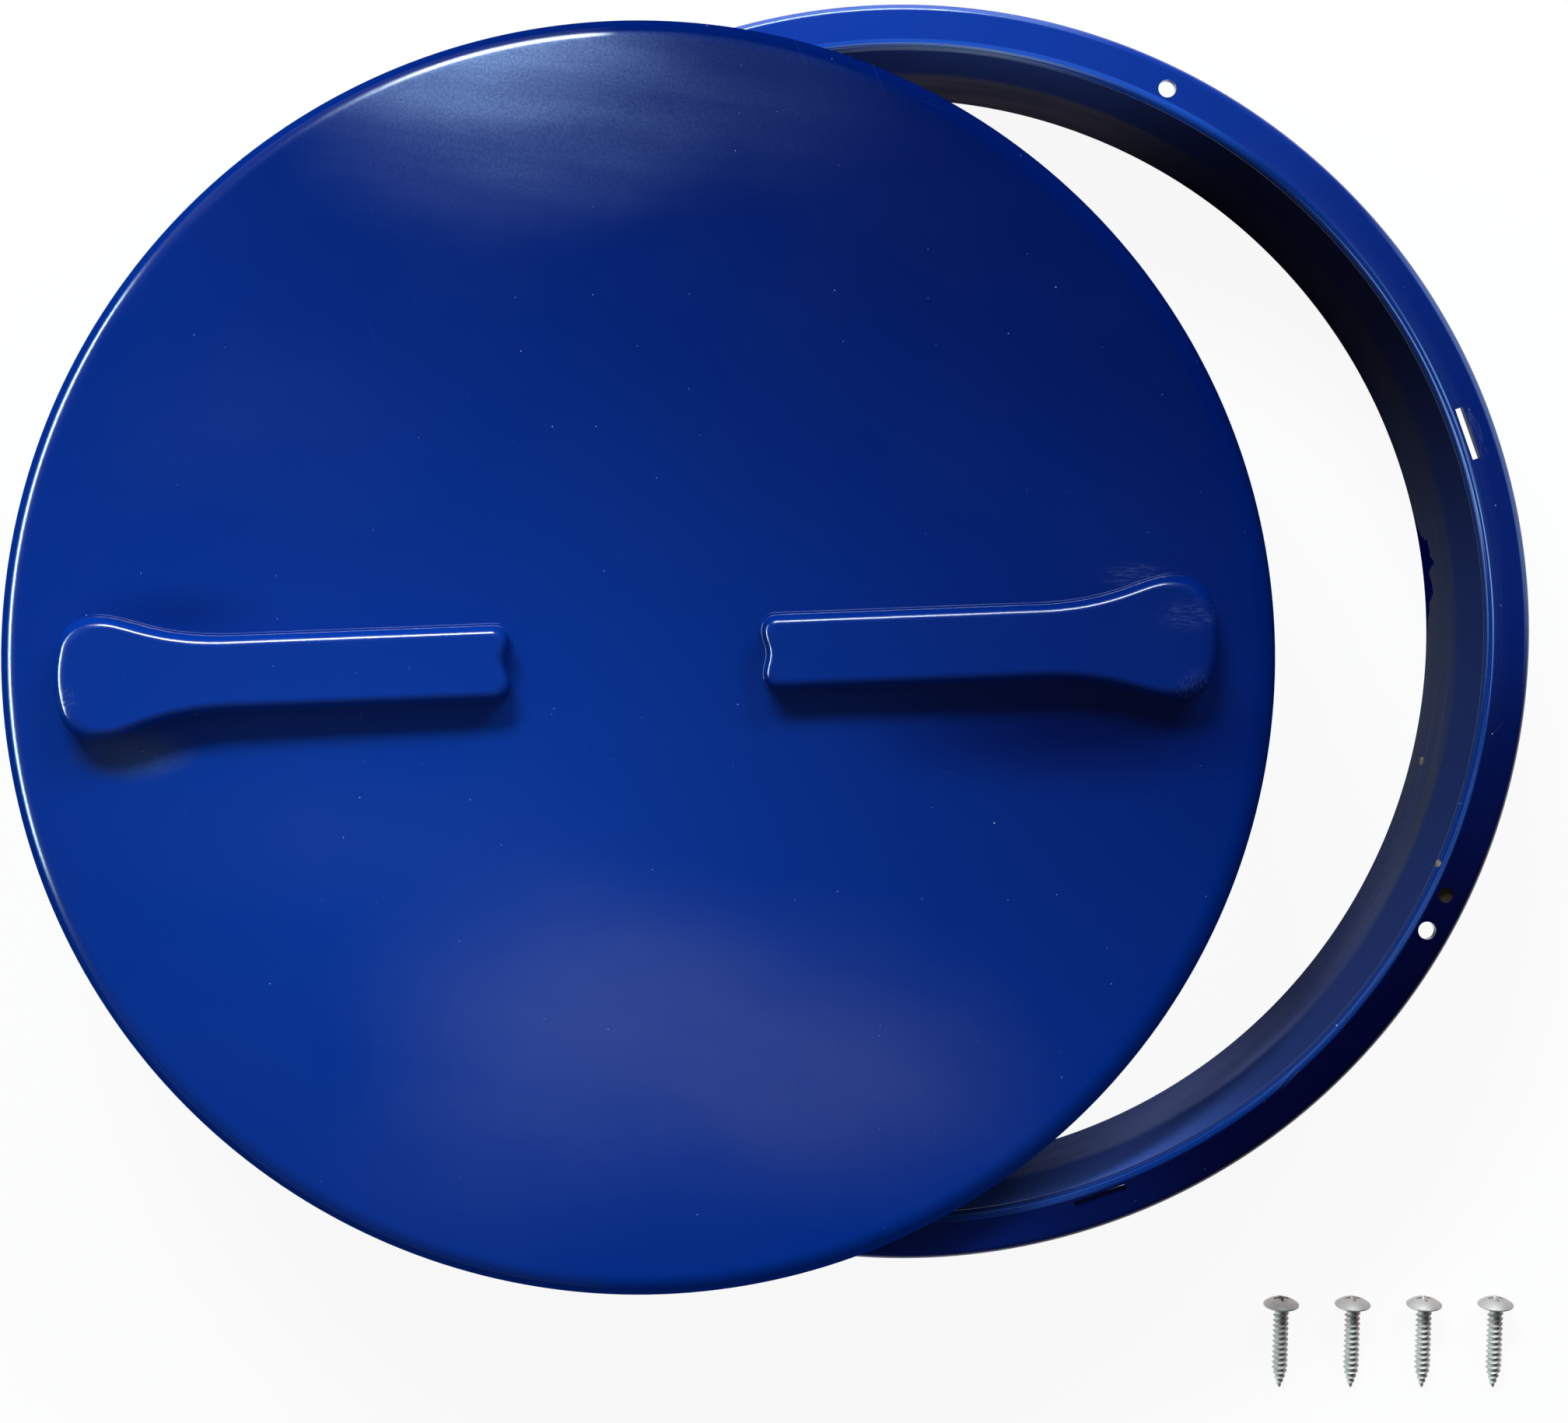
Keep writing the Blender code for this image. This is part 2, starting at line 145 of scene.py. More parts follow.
# Screws.
SCREW_COUNT = 4
SCREW_HEAD_RADIUS = 0.009
SCREW_HEAD_HEIGHT = 0.0042
SCREW_HEAD_EDGE = 0.0007
SCREW_THREAD_RADIUS = 0.004
SCREW_ROOT_RADIUS = 0.0029
SCREW_NECK_STEP = 0.00015
SCREW_PITCH = 0.0028
SCREW_THREAD_LENGTH = 13 * SCREW_PITCH
SCREW_TIP_LENGTH = 0.008
SCREW_TIP_FULLNESS = 0.7
SCREW_POINT_RADIUS = 0.00005
RIDGE_HALF_WIDTH = 0.28  # in pitches
RIDGE_FULLNESS = 0.8
RECESS_SPAN = 0.0078
RECESS_ARM = 0.0018
RECESS_CORNER = 0.86  # in arm widths
RECESS_CORNER_CUT = 1.15
RECESS_DEPTH = 0.0030
RECESS_STRAIGHT = 0.0006
RECESS_FLOOR_SHARE = 0.50

# How finely things are divided.
TURN_STEPS = 288
HOLE_STEPS = 48
ARC_STEPS = 10
CROWN_STEPS = 14
OUTLINE_STEPS = 12
THREAD_STEPS = 40
THREAD_ROWS = 10
OVERCUT = 0.002
MERGE = 0.00001
SHARP_ANGLE = math.radians(32)
SCREW_SHARP_ANGLE = math.radians(28)

# Colours.
LID_BLUE = (0.0008, 0.0260, 0.2450, 1.0)
# The lid's painted light, and the navy of its painted shade and shadows.
LID_PAINTED_LIGHT_BLUE = (0.0022, 0.0385, 0.3150, 1.0)
LID_PAINTED_SHADE_NAVY = (0.0000, 0.0025, 0.0490, 1.0)
RING_BLUE = (0.0050, 0.0430, 0.3600, 1.0)
# The flange's painted shade, by side.
RING_PAINTED_SHADE_MIDDLE = (0.0012, 0.0120, 0.1300, 1.0)
RING_PAINTED_SHADE_DEEP = (0.0002, 0.0008, 0.0230, 1.0)
MOUTH_BLUE = (0.0030, 0.0300, 0.2000, 1.0)
# Painted sheen on the lid's top.
PAINTED_SHEEN_PALE = (0.36, 0.38, 0.48, 1.0)
# Smudges and scuffs; on the smudges this blue is partly a painted sheen.
SMUDGE_AND_SHEEN_BLUE = (0.23, 0.34, 0.64, 1.0)
# Wear on the ring, and its painted sheen and highlights.
WORN_AND_HIGHLIGHT_BLUE = (0.21, 0.33, 0.68, 1.0)
# Painted light on the mouth's far side, and painted highlights there.
PAINTED_LIGHT_EDGE_BLUE = (0.02, 0.12, 0.70, 1.0)
PAINTED_HIGHLIGHT_PALE = (0.50, 0.70, 1.00, 1.0)
DUST = (0.62, 0.66, 0.72, 1.0)
GREEN_DUST = (0.10, 0.15, 0.12, 1.0)
WALL_GREY = (0.042, 0.047, 0.078, 1.0)
# Painted light on the neck's wall: lower down where it faces the light, and at its near and far ends.
WALL_PAINTED_LIGHT_BLUE_GREY = (0.052, 0.062, 0.150, 1.0)
WALL_NEAR_PAINTED_LIGHT_GREY = (0.150, 0.180, 0.420, 1.0)
WALL_NEAR_PAINTED_LIGHT_BLUE = (0.045, 0.085, 0.320, 1.0)
WALL_FAR_PAINTED_LIGHT_GREY = (0.420, 0.370, 0.480, 1.0)
WALL_FAR_PAINTED_LIGHT_BLUE = (0.090, 0.160, 0.600, 1.0)
WALL_NAVY = (0.018, 0.032, 0.125, 1.0)
# Painted shade on the neck's wall.
WALL_PAINTED_SHADE = (0.0080, 0.0070, 0.0190, 1.0)
CHIP_NAVY = (0.0, 0.003, 0.060, 1.0)
# Brown of the grit, and of the painted shade on the pilot hole's floor.
DIRT_AND_SHADE_BROWN = (0.060, 0.042, 0.026, 1.0)
DARK_PAINTED_SHADE = (0.020, 0.014, 0.010, 1.0)
GRIT = (0.34, 0.30, 0.21, 1.0)
ZINC = (0.57, 0.525, 0.51, 1.0)
ZINC_DARK = (0.38, 0.37, 0.365, 1.0)
FLOOR_WHITE = (0.94, 0.94, 0.94, 1.0)
WINDOW_TINT = (0.84, 0.96, 1.0)
STRIP_TINT = (0.66, 0.95, 1.0)

GELCOAT_IOR = 1.38
FLOOR_REACH = 20.0
FLOOR_GLOW = 0.92
WORLD_LIGHT = 0.26
LAMP_AIM = (-0.07, 0.03, 0.1)

# Marks on the lid, whose grips lie along X: the middle, the reach and the strength, or a scuff's grain.
LID_TOP = 0.024
PADDLE_TOP = 0.040
# Haze: a rougher, duller finish, whose paler colour is a painted sheen.
LID_HAZE_AND_SHEEN = (
    ((-0.030, -0.160), (0.130, 0.085), 0.052),
    ((0.035, -0.185), (0.180, 0.090), 0.060),
    ((0.105, -0.205), (0.120, 0.070), 0.034),
    ((-0.070, -0.235), (0.110, 0.060), 0.022),
    ((-0.175, 0.105), (0.110, 0.070), 0.007),
    ((-0.120, -0.085), (0.160, 0.050), 0.010),
)
# Smudges, partly a painted sheen.
LID_SMUDGES_AND_SHEEN = (
    ((-0.084, 0.291), (0.120, 0.054), 0.54),
    ((-0.062, 0.262), (0.125, 0.080), 0.18),
    ((0.040, 0.270), (0.105, 0.070), 0.045),
)
# Painted shadows beside the grips: under the right one and along the left paddle's far side.
LID_PAINTED_SHADOWS = (
    ((0.205, -0.035, LID_TOP), (0.130, 0.035, 0.012), 0.82),
    ((-0.216, 0.021, LID_TOP), (0.060, 0.017, 0.012), 0.32),
)
LID_SCUFFS = (
    ((0.257, 0.020, PADDLE_TOP), (0.020, 0.010, 0.02), (190.0, 1500.0, 1.0)),
    ((0.260, -0.015, PADDLE_TOP), (0.013, 0.012, 0.02), (1300.0, 420.0, 1.0)),
    ((0.234, 0.038, LID_TOP), (0.020, 0.008, 0.01), (170.0, 1200.0, 1.0)),
    ((-0.264, -0.020, PADDLE_TOP), (0.009, 0.010, 0.02), (1100.0, 500.0, 1.0)),
)


# Shapes.

def arc(centre, radius, start, end, steps=ARC_STEPS):
    """Points (along, up) on an arc, with angles counted from +along towards +up."""
    turns = [start + (end - start) * i / steps for i in range(steps + 1)]
    return [(centre[0] + radius * math.cos(a), centre[1] + radius * math.sin(a)) for a in turns]


def bezier(a, b, c, d, steps):
    made = []
    for i in range(steps + 1):
        t = i / steps
        s = 1 - t
        weights = (s ** 3, 3 * s * s * t, 3 * s * t * t, t ** 3)
        made.append(tuple(sum(w * p[k] for w, p in zip(weights, (a, b, c, d))) for k in range(2)))
    return made


def smooth(low, high, value):
    """0 at low, 1 at high, and an even rise between them."""
    t = min(max((value - low) / (high - low), 0.0), 1.0)
    return t * t * (3 - 2 * t)


def new_object(name, data):
    obj = bpy.data.objects.new(name, data)
    bpy.context.scene.collection.objects.link(obj)
    return obj


def mesh_object(name, bm):
    mesh = bpy.data.meshes.new(name)
    bm.to_mesh(mesh)
    bm.free()
    return new_object(name, mesh)


def turned(name, profile, closed, steps=TURN_STEPS):
    """A profile of (radius, height) points spun round Z. It runs down its outer side."""
    edges = [(i, i + 1) for i in range(len(profile) - 1)]
    if closed:
        edges.append((len(profile) - 1, 0))
    mesh = bpy.data.meshes.new(name)
    mesh.from_pydata([(r, 0.0, z) for r, z in profile], edges, [])
    obj = new_object(name, mesh)
    spin = obj.modifiers.new("turn", "SCREW")
    spin.steps = steps
    spin.render_steps = steps
    spin.use_merge_vertices = True
    spin.merge_threshold = MERGE
    return obj


def skin(name, rings):
    """Skins rings of points, lowest first, and caps both ends."""
    bm = bmesh.new()
    rows = [[bm.verts.new(p) for p in ring] for ring in rings]
    count = len(rows[0])
    bm.faces.new(reversed(rows[0]))
    for low, high in zip(rows, rows[1:]):
        for i in range(count):
            j = (i + 1) % count
            bm.faces.new((low[i], low[j], high[j], high[i]))
    bm.faces.new(rows[-1])
    return mesh_object(name, bm)


def slab(name, outline, low, high, axes):
    """A flat outline of (a, b) points, extruded. axes names the axis of a, of b and of the depth."""
    ways = [Vector(), Vector(), Vector()]
    for way, axis in zip(ways, axes):
        way["XYZ".index(axis)] = 1.0
    way_a, way_b, depth = ways
    bm = bmesh.new()
    face = bm.faces.new([bm.verts.new(way_a * a + way_b * b + depth * low) for a, b in outline])
    grown = bmesh.ops.extrude_face_region(bm, geom=[face])
    moved = [v for v in grown["geom"] if isinstance(v, bmesh.types.BMVert)]
    bmesh.ops.translate(bm, verts=moved, vec=depth * (high - low))
    bmesh.ops.recalc_face_normals(bm, faces=bm.faces)
    return mesh_object(name, bm)


def block(name, size):
    bm = bmesh.new()
    bmesh.ops.create_cube(bm, size=1.0)
    bmesh.ops.scale(bm, vec=size, verts=bm.verts)
    return mesh_object(name, bm)


def drill(name, radius, depth):
    """A cutter whose open end stands OVERCUT above Z = 0 and whose floor is at -depth."""
    bm = bmesh.new()
    bmesh.ops.create_cone(bm, cap_ends=True, segments=HOLE_STEPS, radius1=radius, radius2=radius,
                          depth=depth + OVERCUT)
    bmesh.ops.translate(bm, verts=bm.verts, vec=(0, 0, (OVERCUT - depth) / 2))
    return mesh_object(name, bm)


def on_circle(radius, angle, height):
    return radius * math.cos(angle), radius * math.sin(angle), height


def put_round(obj, radius, angle, height):
    """Places obj on a circle, with its own X pointing outwards."""
    obj.location = on_circle(radius, angle, height)
    obj.rotation_euler = (0, 0, angle)
    return obj


def combine(owner, helpers, operation):
    """Joins the helpers to owner's mesh, or cuts them from it, and removes them."""
    group = bpy.data.collections.new(f"{owner.name}_{operation.lower()}")
    for helper in helpers:
        bpy.context.scene.collection.objects.unlink(helper)
        group.objects.link(helper)
    cut = owner.modifiers.new(operation.lower(), "BOOLEAN")
    cut.operation = operation
    cut.operand_type = "COLLECTION"
    cut.collection = group
    cut.solver = "EXACT"
    bpy.context.scene.collection.children.link(group)
    settle(owner)
    for helper in helpers:
        bpy.data.objects.remove(helper, do_unlink=True)
    bpy.data.collections.remove(group)


def settle(obj):
    """Makes obj's modifiers part of its mesh."""
    bpy.context.view_layer.update()
    graph = bpy.context.evaluated_depsgraph_get()
    mesh = bpy.data.meshes.new_from_object(obj.evaluated_get(graph))
    obj.modifiers.clear()
    obj.data = mesh


def finish_surface(obj, material, sharp_angle=SHARP_ANGLE):
    """Smooth shading that keeps broad faces flat, and the piece's material."""
    bm = bmesh.new()
    bm.from_mesh(obj.data)
    bmesh.ops.remove_doubles(bm, verts=bm.verts, dist=MERGE / 2)
    bm.to_mesh(obj.data)
    bm.free()
    obj.data.shade_smooth()
    obj.data.set_sharp_from_angle(angle=sharp_angle)
    even = obj.modifiers.new("even_normals", "WEIGHTED_NORMAL")
    even.keep_sharp = True
    obj.data.materials.clear()
    obj.data.materials.append(material)


def fit(obj, node):
    """obj stands for that node of the solids and rides with it."""
    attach(obj, "root")
    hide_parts(node)


# Neck ring.

def ring_profile():
    """The closed section of the ring, down its outer side and up the bore."""
    flange_under = RING_HEIGHT - FLANGE_THICKNESS
    foot_radius = BORE_RADIUS - NECK_TAPER
    edge = arc((RING_RADIUS - FLANGE_EDGE_ROUND, RING_HEIGHT - FLANGE_EDGE_ROUND),
               FLANGE_EDGE_ROUND, math.pi / 2, 0)
    fillet = arc((NECK_OUTER_RADIUS + NECK_WEB, flange_under - NECK_WEB),
                 NECK_WEB, math.pi / 2, math.pi)
    neck = [(foot_radius + NECK_WALL, 0.0), (foot_radius, 0.0)]
    mouth = arc((BORE_RADIUS + MOUTH_ROUND, RING_HEIGHT - MOUTH_ROUND),
                MOUTH_ROUND, math.pi, math.pi / 2)
    return edge + [(RING_RADIUS, flange_under)] + fillet + neck + mouth


def is_bore(middle):
    """Whether that point of the ring lies on the neck's inside, below the rounded mouth."""
    inside = math.hypot(middle.x, middle.y) < BORE_RADIUS + NECK_WALL / 4
    return inside and middle.z < RING_HEIGHT - MOUTH_ROUND


def build_ring(material, bore_material):
    ring = turned("neck_ring_shell", ring_profile(), True)
    settle(ring)
    through = FLANGE_THICKNESS + OVERCUT
    cutters = []
    for turn in HOOK_TURNS:
        slot = block("slot", (SLOT_WIDTH, SLOT_LENGTH, 2 * through))
        cutters.append(put_round(slot, SLOT_CIRCLE, SLOT_ANGLE + turn, RING_HEIGHT))
    for angle in SCREW_HOLE_ANGLES:
        for side in range(2):
            hole = drill("screw_hole", SCREW_HOLE_RADIUS, through)
            cutters.append(put_round(hole, SCREW_CIRCLE, angle + math.pi * side, RING_HEIGHT))
    pilot = drill("pilot_hole", PILOT_HOLE_RADIUS, PILOT_HOLE_DEPTH)
    cutters.append(put_round(pilot, SCREW_CIRCLE, PILOT_HOLE_ANGLE, RING_HEIGHT))
    combine(ring, cutters, "DIFFERENCE")
    # The sheet across the near slot, which stands in for the shade seen through it.
    shade_sheet = block("shade_sheet", (SLOT_WIDTH - SHADE_SHEET_GAP, SLOT_LENGTH + 2 * SHADE_SHEET_OVERLAP, SHADE_SHEET_THICKNESS))
    put_round(shade_sheet, SLOT_CIRCLE + SHADE_SHEET_GAP / 2 + SHADE_SHEET_OVERLAP, SLOT_ANGLE - math.pi / 2,
              RING_HEIGHT - SHADE_SHEET_DEPTH)
    shade_sheet.rotation_euler.z += SHADE_SHEET_TWIST
    combine(ring, [shade_sheet], "UNION")
    finish_surface(ring, material)
    ring.data.materials.append(bore_material)
    for face in ring.data.polygons:
        face.material_index = int(is_bore(face.center))
    middle = (ring_low + ring_high) / 2
    ring.location = (middle.x, middle.y, 0.0)
    fit(ring, "neck_ring")


# Lid.

def crown_height(radius):
    """How high the lid's top lies over its lower edge, that far from its middle."""
    shoulder = LID_RADIUS - LID_RIM_ROUND
    return LID_DEPTH + LID_CROWN * (1 - min(radius / shoulder, 1.0) ** 2)


def lid_line(inset, steps):
    """The lid's outer surface moved inwards by inset, from the middle out and down the skirt."""
    shoulder = LID_RADIUS - LID_RIM_ROUND
    radii = [shoulder * i / CROWN_STEPS for i in range(CROWN_STEPS)]
    crown = [(r, crown_height(r) - inset) for r in radii]
    rim = arc((shoulder, LID_DEPTH - LID_RIM_ROUND), LID_RIM_ROUND - inset, math.pi / 2, 0, steps)
    return crown + rim


def lid_profile():
    outer_edge_highlight = arc((LID_RADIUS - LID_EDGE_ROUND, LID_EDGE_ROUND), LID_EDGE_ROUND, 0, -math.pi / 2, 3)
    inner_edge = arc((LID_RADIUS - LID_WALL + LID_EDGE_ROUND, LID_EDGE_ROUND), LID_EDGE_ROUND,
                     -math.pi / 2, -math.pi, 3)
    inner = list(reversed(lid_line(LID_WALL, ARC_STEPS)))
    return lid_line(0.0, 2 * ARC_STEPS) + outer_edge_highlight + inner_edge + inner


def grip_half_line(inset):
    """One side of a grip's outline, as (outwards, sideways), from its inner end to its tip. It lies inside
    the foot's outline by inset, and its corners stay soft."""
    half_width = GRIP_HALF_WIDTH - inset
    corner = INNER_CORNER - inset * CORNER_TIGHTENING
    notch_half = half_width - corner
    inner_end = GRIP_INNER_END + inset
    line = []
    for i in range(OUTLINE_STEPS):
        side = notch_half * i / OUTLINE_STEPS
        wave = 0.5 * (1 + math.cos(math.pi * side / notch_half))
        line.append((inner_end + INNER_NOTCH * wave, side))
    line += arc((inner_end + corner, notch_half), corner, math.pi, math.pi / 2, OUTLINE_STEPS)
    paddle_half_width = PADDLE_HALF_WIDTH - inset
    paddle_corner = PADDLE_CORNER - inset * CORNER_TIGHTENING
    turn_left = math.pi / 2 - PADDLE_CORNER_TURN
    corner_side = paddle_half_width - paddle_corner
    join_side = corner_side + paddle_corner * math.sin(turn_left)
    tip_radius = join_side / math.sin(turn_left)
    tip_centre = GRIP_OUTER_END - inset - tip_radius
    corner_along = tip_centre + (tip_radius - paddle_corner) * math.cos(turn_left)
    flare_start = GRIP_OUTER_END - PADDLE_LENGTH
    flare = corner_along - flare_start
    shaft_start = line[-1][0]
    line += [(shaft_start + (flare_start - shaft_start) * i / OUTLINE_STEPS, half_width)
             for i in range(1, OUTLINE_STEPS)]
    line += bezier((flare_start, half_width),
                   (flare_start + FLARE_LEAVING * flare, half_width),
                   (flare_start + FLARE_ARRIVING * flare, paddle_half_width),
                   (corner_along, paddle_half_width), 3 * OUTLINE_STEPS)
    line += arc((corner_along, corner_side), paddle_corner, math.pi / 2, turn_left, 2 * OUTLINE_STEPS)[1:]
    line += arc((tip_centre, 0.0), tip_radius, turn_left, 0, OUTLINE_STEPS)[1:]
    return line


def grip_outline(inset):
    """The closed outline of a grip, that far inside its foot's."""
    half = grip_half_line(inset)
    return [(a, -s) for a, s in half] + [(a, s) for a, s in reversed(half[1:-1])]


def grip_rings():
    """Rings of points up a grip: sunk foot, fine ledge, fillet, drafted wall and rounded top."""
    wall = FOOT_LEDGE + FOOT_FILLET
    foot = [(0.0, -FOOT_DEPTH), (0.0, 0.0)]
    foot += [(FOOT_LEDGE / 4, FOOT_LEDGE_HEIGHT), (FOOT_LEDGE, FOOT_LEDGE_HEIGHT)]
    foot += arc((FOOT_LEDGE, FOOT_LEDGE_HEIGHT + FOOT_FILLET), FOOT_FILLET, -math.pi / 2, 0, 4)[1:]
    rings = []
    for inset, rise in foot:
        rings.append([(a, s, crown_height(math.hypot(a, s)) + rise) for a, s in grip_outline(inset)])
    lean = GRIP_DRAFT - wall
    for i in range(ARC_STEPS + 1):
        turn = i / ARC_STEPS * math.pi / 2
        narrow = grip_outline(wall + lean + GRIP_ROUND * (1 - math.cos(turn)))
        broad = grip_outline(wall + lean + GRIP_TIP_ROUND * (1 - math.cos(turn)))
        ring = []
        for (a, s), (wide_a, wide_s) in zip(narrow, broad):
            share = smooth(GRIP_TIP_START, GRIP_TIP_FULL, a)
            rounding = GRIP_ROUND + (GRIP_TIP_ROUND - GRIP_ROUND) * share
            ring.append((a + (wide_a - a) * share, s + (wide_s - s) * share,
                         GRIP_RISE - rounding * (1 - math.sin(turn))))
        rings.append(ring)
    return rings


def hollow_rings():
    """The space inside a grip, open to the lid's underside."""
    ends = ((GRIP_WALL, LID_DEPTH / 2), (GRIP_WALL + GRIP_DRAFT, GRIP_RISE - GRIP_WALL))
    return [[(a, s, height) for a, s in grip_outline(inset)] for inset, height in ends]


def skin_pair(name, rings):
    """The same skin on both sides of the lid's middle."""
    made = []
    for turn in (0.0, math.pi):
        made.append(skin(name, rings))
        made[-1].rotation_euler = (0, 0, turn)
    return made


def lid_additions():
    """The grips, the ribs and the hooks."""
    made = skin_pair("grip", grip_rings())
    rib_line = lid_line(LID_WALL / 2, ARC_STEPS) + [(LID_RADIUS - LID_WALL / 2, LID_EDGE_ROUND)]
    rib_outline = [(-r, z) for r, z in reversed(rib_line[1:])] + rib_line
    for turn in HOOK_TURNS[:2]:
        rib = slab("rib", rib_outline, -RIB_THICKNESS / 2, RIB_THICKNESS / 2, "XZY")
        rib.rotation_euler = (0, 0, HOOK_ANGLE_FROM_GRIPS + turn)
        made.append(rib)
    stem_end = HOOK_STEM - HOOK_LENGTH / 2
    hook_outline = [
        (-HOOK_LENGTH / 2, LID_DEPTH - LID_WALL / 2),
        (-HOOK_LENGTH / 2, -HOOK_DROP),
        (HOOK_LENGTH / 2, -HOOK_DROP),
        (HOOK_LENGTH / 2, HOOK_TOE - HOOK_DROP),
        (stem_end, HOOK_TOE - HOOK_DROP),
        (stem_end, LID_DEPTH - LID_WALL / 2),
    ]
    for turn in HOOK_TURNS:
        hook = slab("hook", hook_outline, -HOOK_THICKNESS / 2, HOOK_THICKNESS / 2, "YZX")
        made.append(put_round(hook, SLOT_CIRCLE, HOOK_ANGLE_FROM_GRIPS + turn, 0.0))
    return made


def build_lid(material):
    lid = turned("lid_shell", lid_profile(), False)
    settle(lid)
    combine(lid, lid_additions(), "UNION")
    combine(lid, skin_pair("grip_hollow", hollow_rings()), "DIFFERENCE")
    finish_surface(lid, material)
    middle = (lid_low + lid_high) / 2
    lid.data.transform(Matrix.Rotation(LID_TURN, 4, "Z"))
    lid.location = (middle.x, middle.y, RING_HEIGHT + RESTING_GAP)
    fit(lid, "lid")


# Screws.

def head_profile():
    """The head's closed section, from the middle of its dome down to its underside."""
    cap = SCREW_HEAD_HEIGHT - SCREW_HEAD_EDGE
    dome_radius = (SCREW_HEAD_RADIUS ** 2 + cap ** 2) / (2 * cap)
    rim_turn = math.asin(SCREW_HEAD_RADIUS / dome_radius)
    dome = arc((0.0, SCREW_HEAD_HEIGHT - dome_radius), dome_radius, math.pi / 2, math.pi / 2 - rim_turn, 16)
    edge = SCREW_HEAD_EDGE / 2
    neck_radius = SCREW_ROOT_RADIUS + SCREW_NECK_STEP
    rim = arc((SCREW_HEAD_RADIUS - edge, edge), edge, 0, -math.pi / 2, 4)
    neck = arc((neck_radius + edge, -edge), edge, math.pi / 2, math.pi, 3)
    return dome + rim + neck + [(neck_radius, -2 * edge), (0.0, -2 * edge)]


def thread_radius(height, share):
    """The thread's radius at a height over the point, and at a share of the pitch from its root."""
    taper = min(max(height / (SCREW_TIP_LENGTH + SCREW_PITCH), 0.0), 1.0) ** SCREW_TIP_FULLNESS
    start = min(max((SCREW_TIP_LENGTH + SCREW_THREAD_LENGTH - height) / SCREW_PITCH, 0.0), 1.0)
    ridge = max(0.0, 1.0 - abs(share - 0.5) / RIDGE_HALF_WIDTH) ** RIDGE_FULLNESS
    return taper * (SCREW_ROOT_RADIUS + (SCREW_THREAD_RADIUS - SCREW_ROOT_RADIUS) * ridge * start)


def build_shank(name):
    """A right-hand thread from just above its point up into the head."""
    tip = -SCREW_THREAD_LENGTH - SCREW_TIP_LENGTH
    rows = int((SCREW_THREAD_LENGTH + SCREW_TIP_LENGTH + SCREW_HEAD_EDGE) / SCREW_PITCH * THREAD_ROWS)
    bm = bmesh.new()
    columns = []
    for c in range(THREAD_STEPS):
        angle = 2 * math.pi * c / THREAD_STEPS
        column = []
        for t in range(rows + 1):
            height = SCREW_PITCH * (c / THREAD_STEPS + t / THREAD_ROWS)
            radius = max(thread_radius(height, t % THREAD_ROWS / THREAD_ROWS), SCREW_POINT_RADIUS)
            column.append(bm.verts.new(on_circle(radius, angle, min(tip + height, SCREW_HEAD_EDGE))))
        columns.append(column)
    for c in range(THREAD_STEPS - 1):
        for t in range(rows):
            bm.faces.new((columns[c][t], columns[c + 1][t], columns[c + 1][t + 1], columns[c][t + 1]))
    for t in range(rows - THREAD_ROWS):
        up = t + THREAD_ROWS
        bm.faces.new((columns[-1][t], columns[0][up], columns[0][up + 1], columns[-1][t + 1]))
    bmesh.ops.remove_doubles(bm, verts=bm.verts, dist=MERGE / 10)
    bmesh.ops.holes_fill(bm, edges=[e for e in bm.edges if e.is_boundary], sides=0)
    bmesh.ops.recalc_face_normals(bm, faces=bm.faces)
    return mesh_object(name, bm)


def cross_outline(span, arm):
    """A cross-head recess seen from above: four arms, with their inner corners cut back."""
    corner = arm * RECESS_CORNER
    cut = corner * RECESS_CORNER_CUT
    quarter = [(span / 2, -arm / 2), (span / 2, arm / 2), (cut, arm / 2), (corner, corner), (arm / 2, cut)]
    points = []
    for q in range(4):
        for x, y in quarter:
            for _ in range(q):
                x, y = -y, x
            points.append((x, y))
    return points


def build_recess(name):
    """The cutter of the recess, straight at first and then drawn in to its floor."""
    outline = cross_outline(RECESS_SPAN, RECESS_ARM)
    rings = []
    for share, depth in ((RECESS_FLOOR_SHARE, RECESS_DEPTH), (1.0, RECESS_STRAIGHT), (1.0, -OVERCUT)):
        rings.append([(x * share, y * share, SCREW_HEAD_HEIGHT - depth) for x, y in outline])
    return skin(name, rings)


def build_screws(material):
    """One screw is made, and the others share its shape. Each lies with its head towards the ring."""
    first = turned("screw_1_steel", head_profile(), False, 64)
    settle(first)
    combine(first, [build_shank("shank")], "UNION")
    combine(first, [build_recess("recess")], "DIFFERENCE")
    last_crest = SCREW_THREAD_LENGTH - SCREW_PITCH / 2
    dip = math.atan2(SCREW_HEAD_RADIUS - SCREW_THREAD_RADIUS, last_crest)
    first.data.transform(Matrix.Rotation(dip - math.pi / 2, 4, "X"))
    finish_surface(first, material, SCREW_SHARP_ANGLE)
    settle(first)
    for i in range(SCREW_COUNT):
        name = f"screw_{i + 1}"
        low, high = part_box(name)
        screw = first if i == 0 else new_object(f"{name}_steel", first.data.copy())
        screw.location = ((low.x + high.x) / 2, high.y - SCREW_HEAD_HEIGHT * math.cos(dip),
                          SCREW_HEAD_RADIUS * math.cos(dip))
        fit(screw, name)


# Nodes and effects that the materials share.

def feed(tree, socket, value):
    if isinstance(value, bpy.types.NodeSocket):
        tree.links.new(value, socket)
    else:
        socket.default_value = value


def maths(tree, operation, *values):
    """A Math node. Each value is a number or a socket."""
    node = tree.nodes.new("ShaderNodeMath")
    node.operation = operation
    for socket, value in zip(node.inputs, values):
        feed(tree, socket, value)
    return node.outputs[0]


def product(tree, *values):
    """All the values multiplied."""
    total = values[0]
    for value in values[1:]:
        total = maths(tree, "MULTIPLY", total, value)
    return total


def largest(tree, *values):
    total = values[0]
    for value in values[1:]:
        total = maths(tree, "MAXIMUM", total, value)
    return total


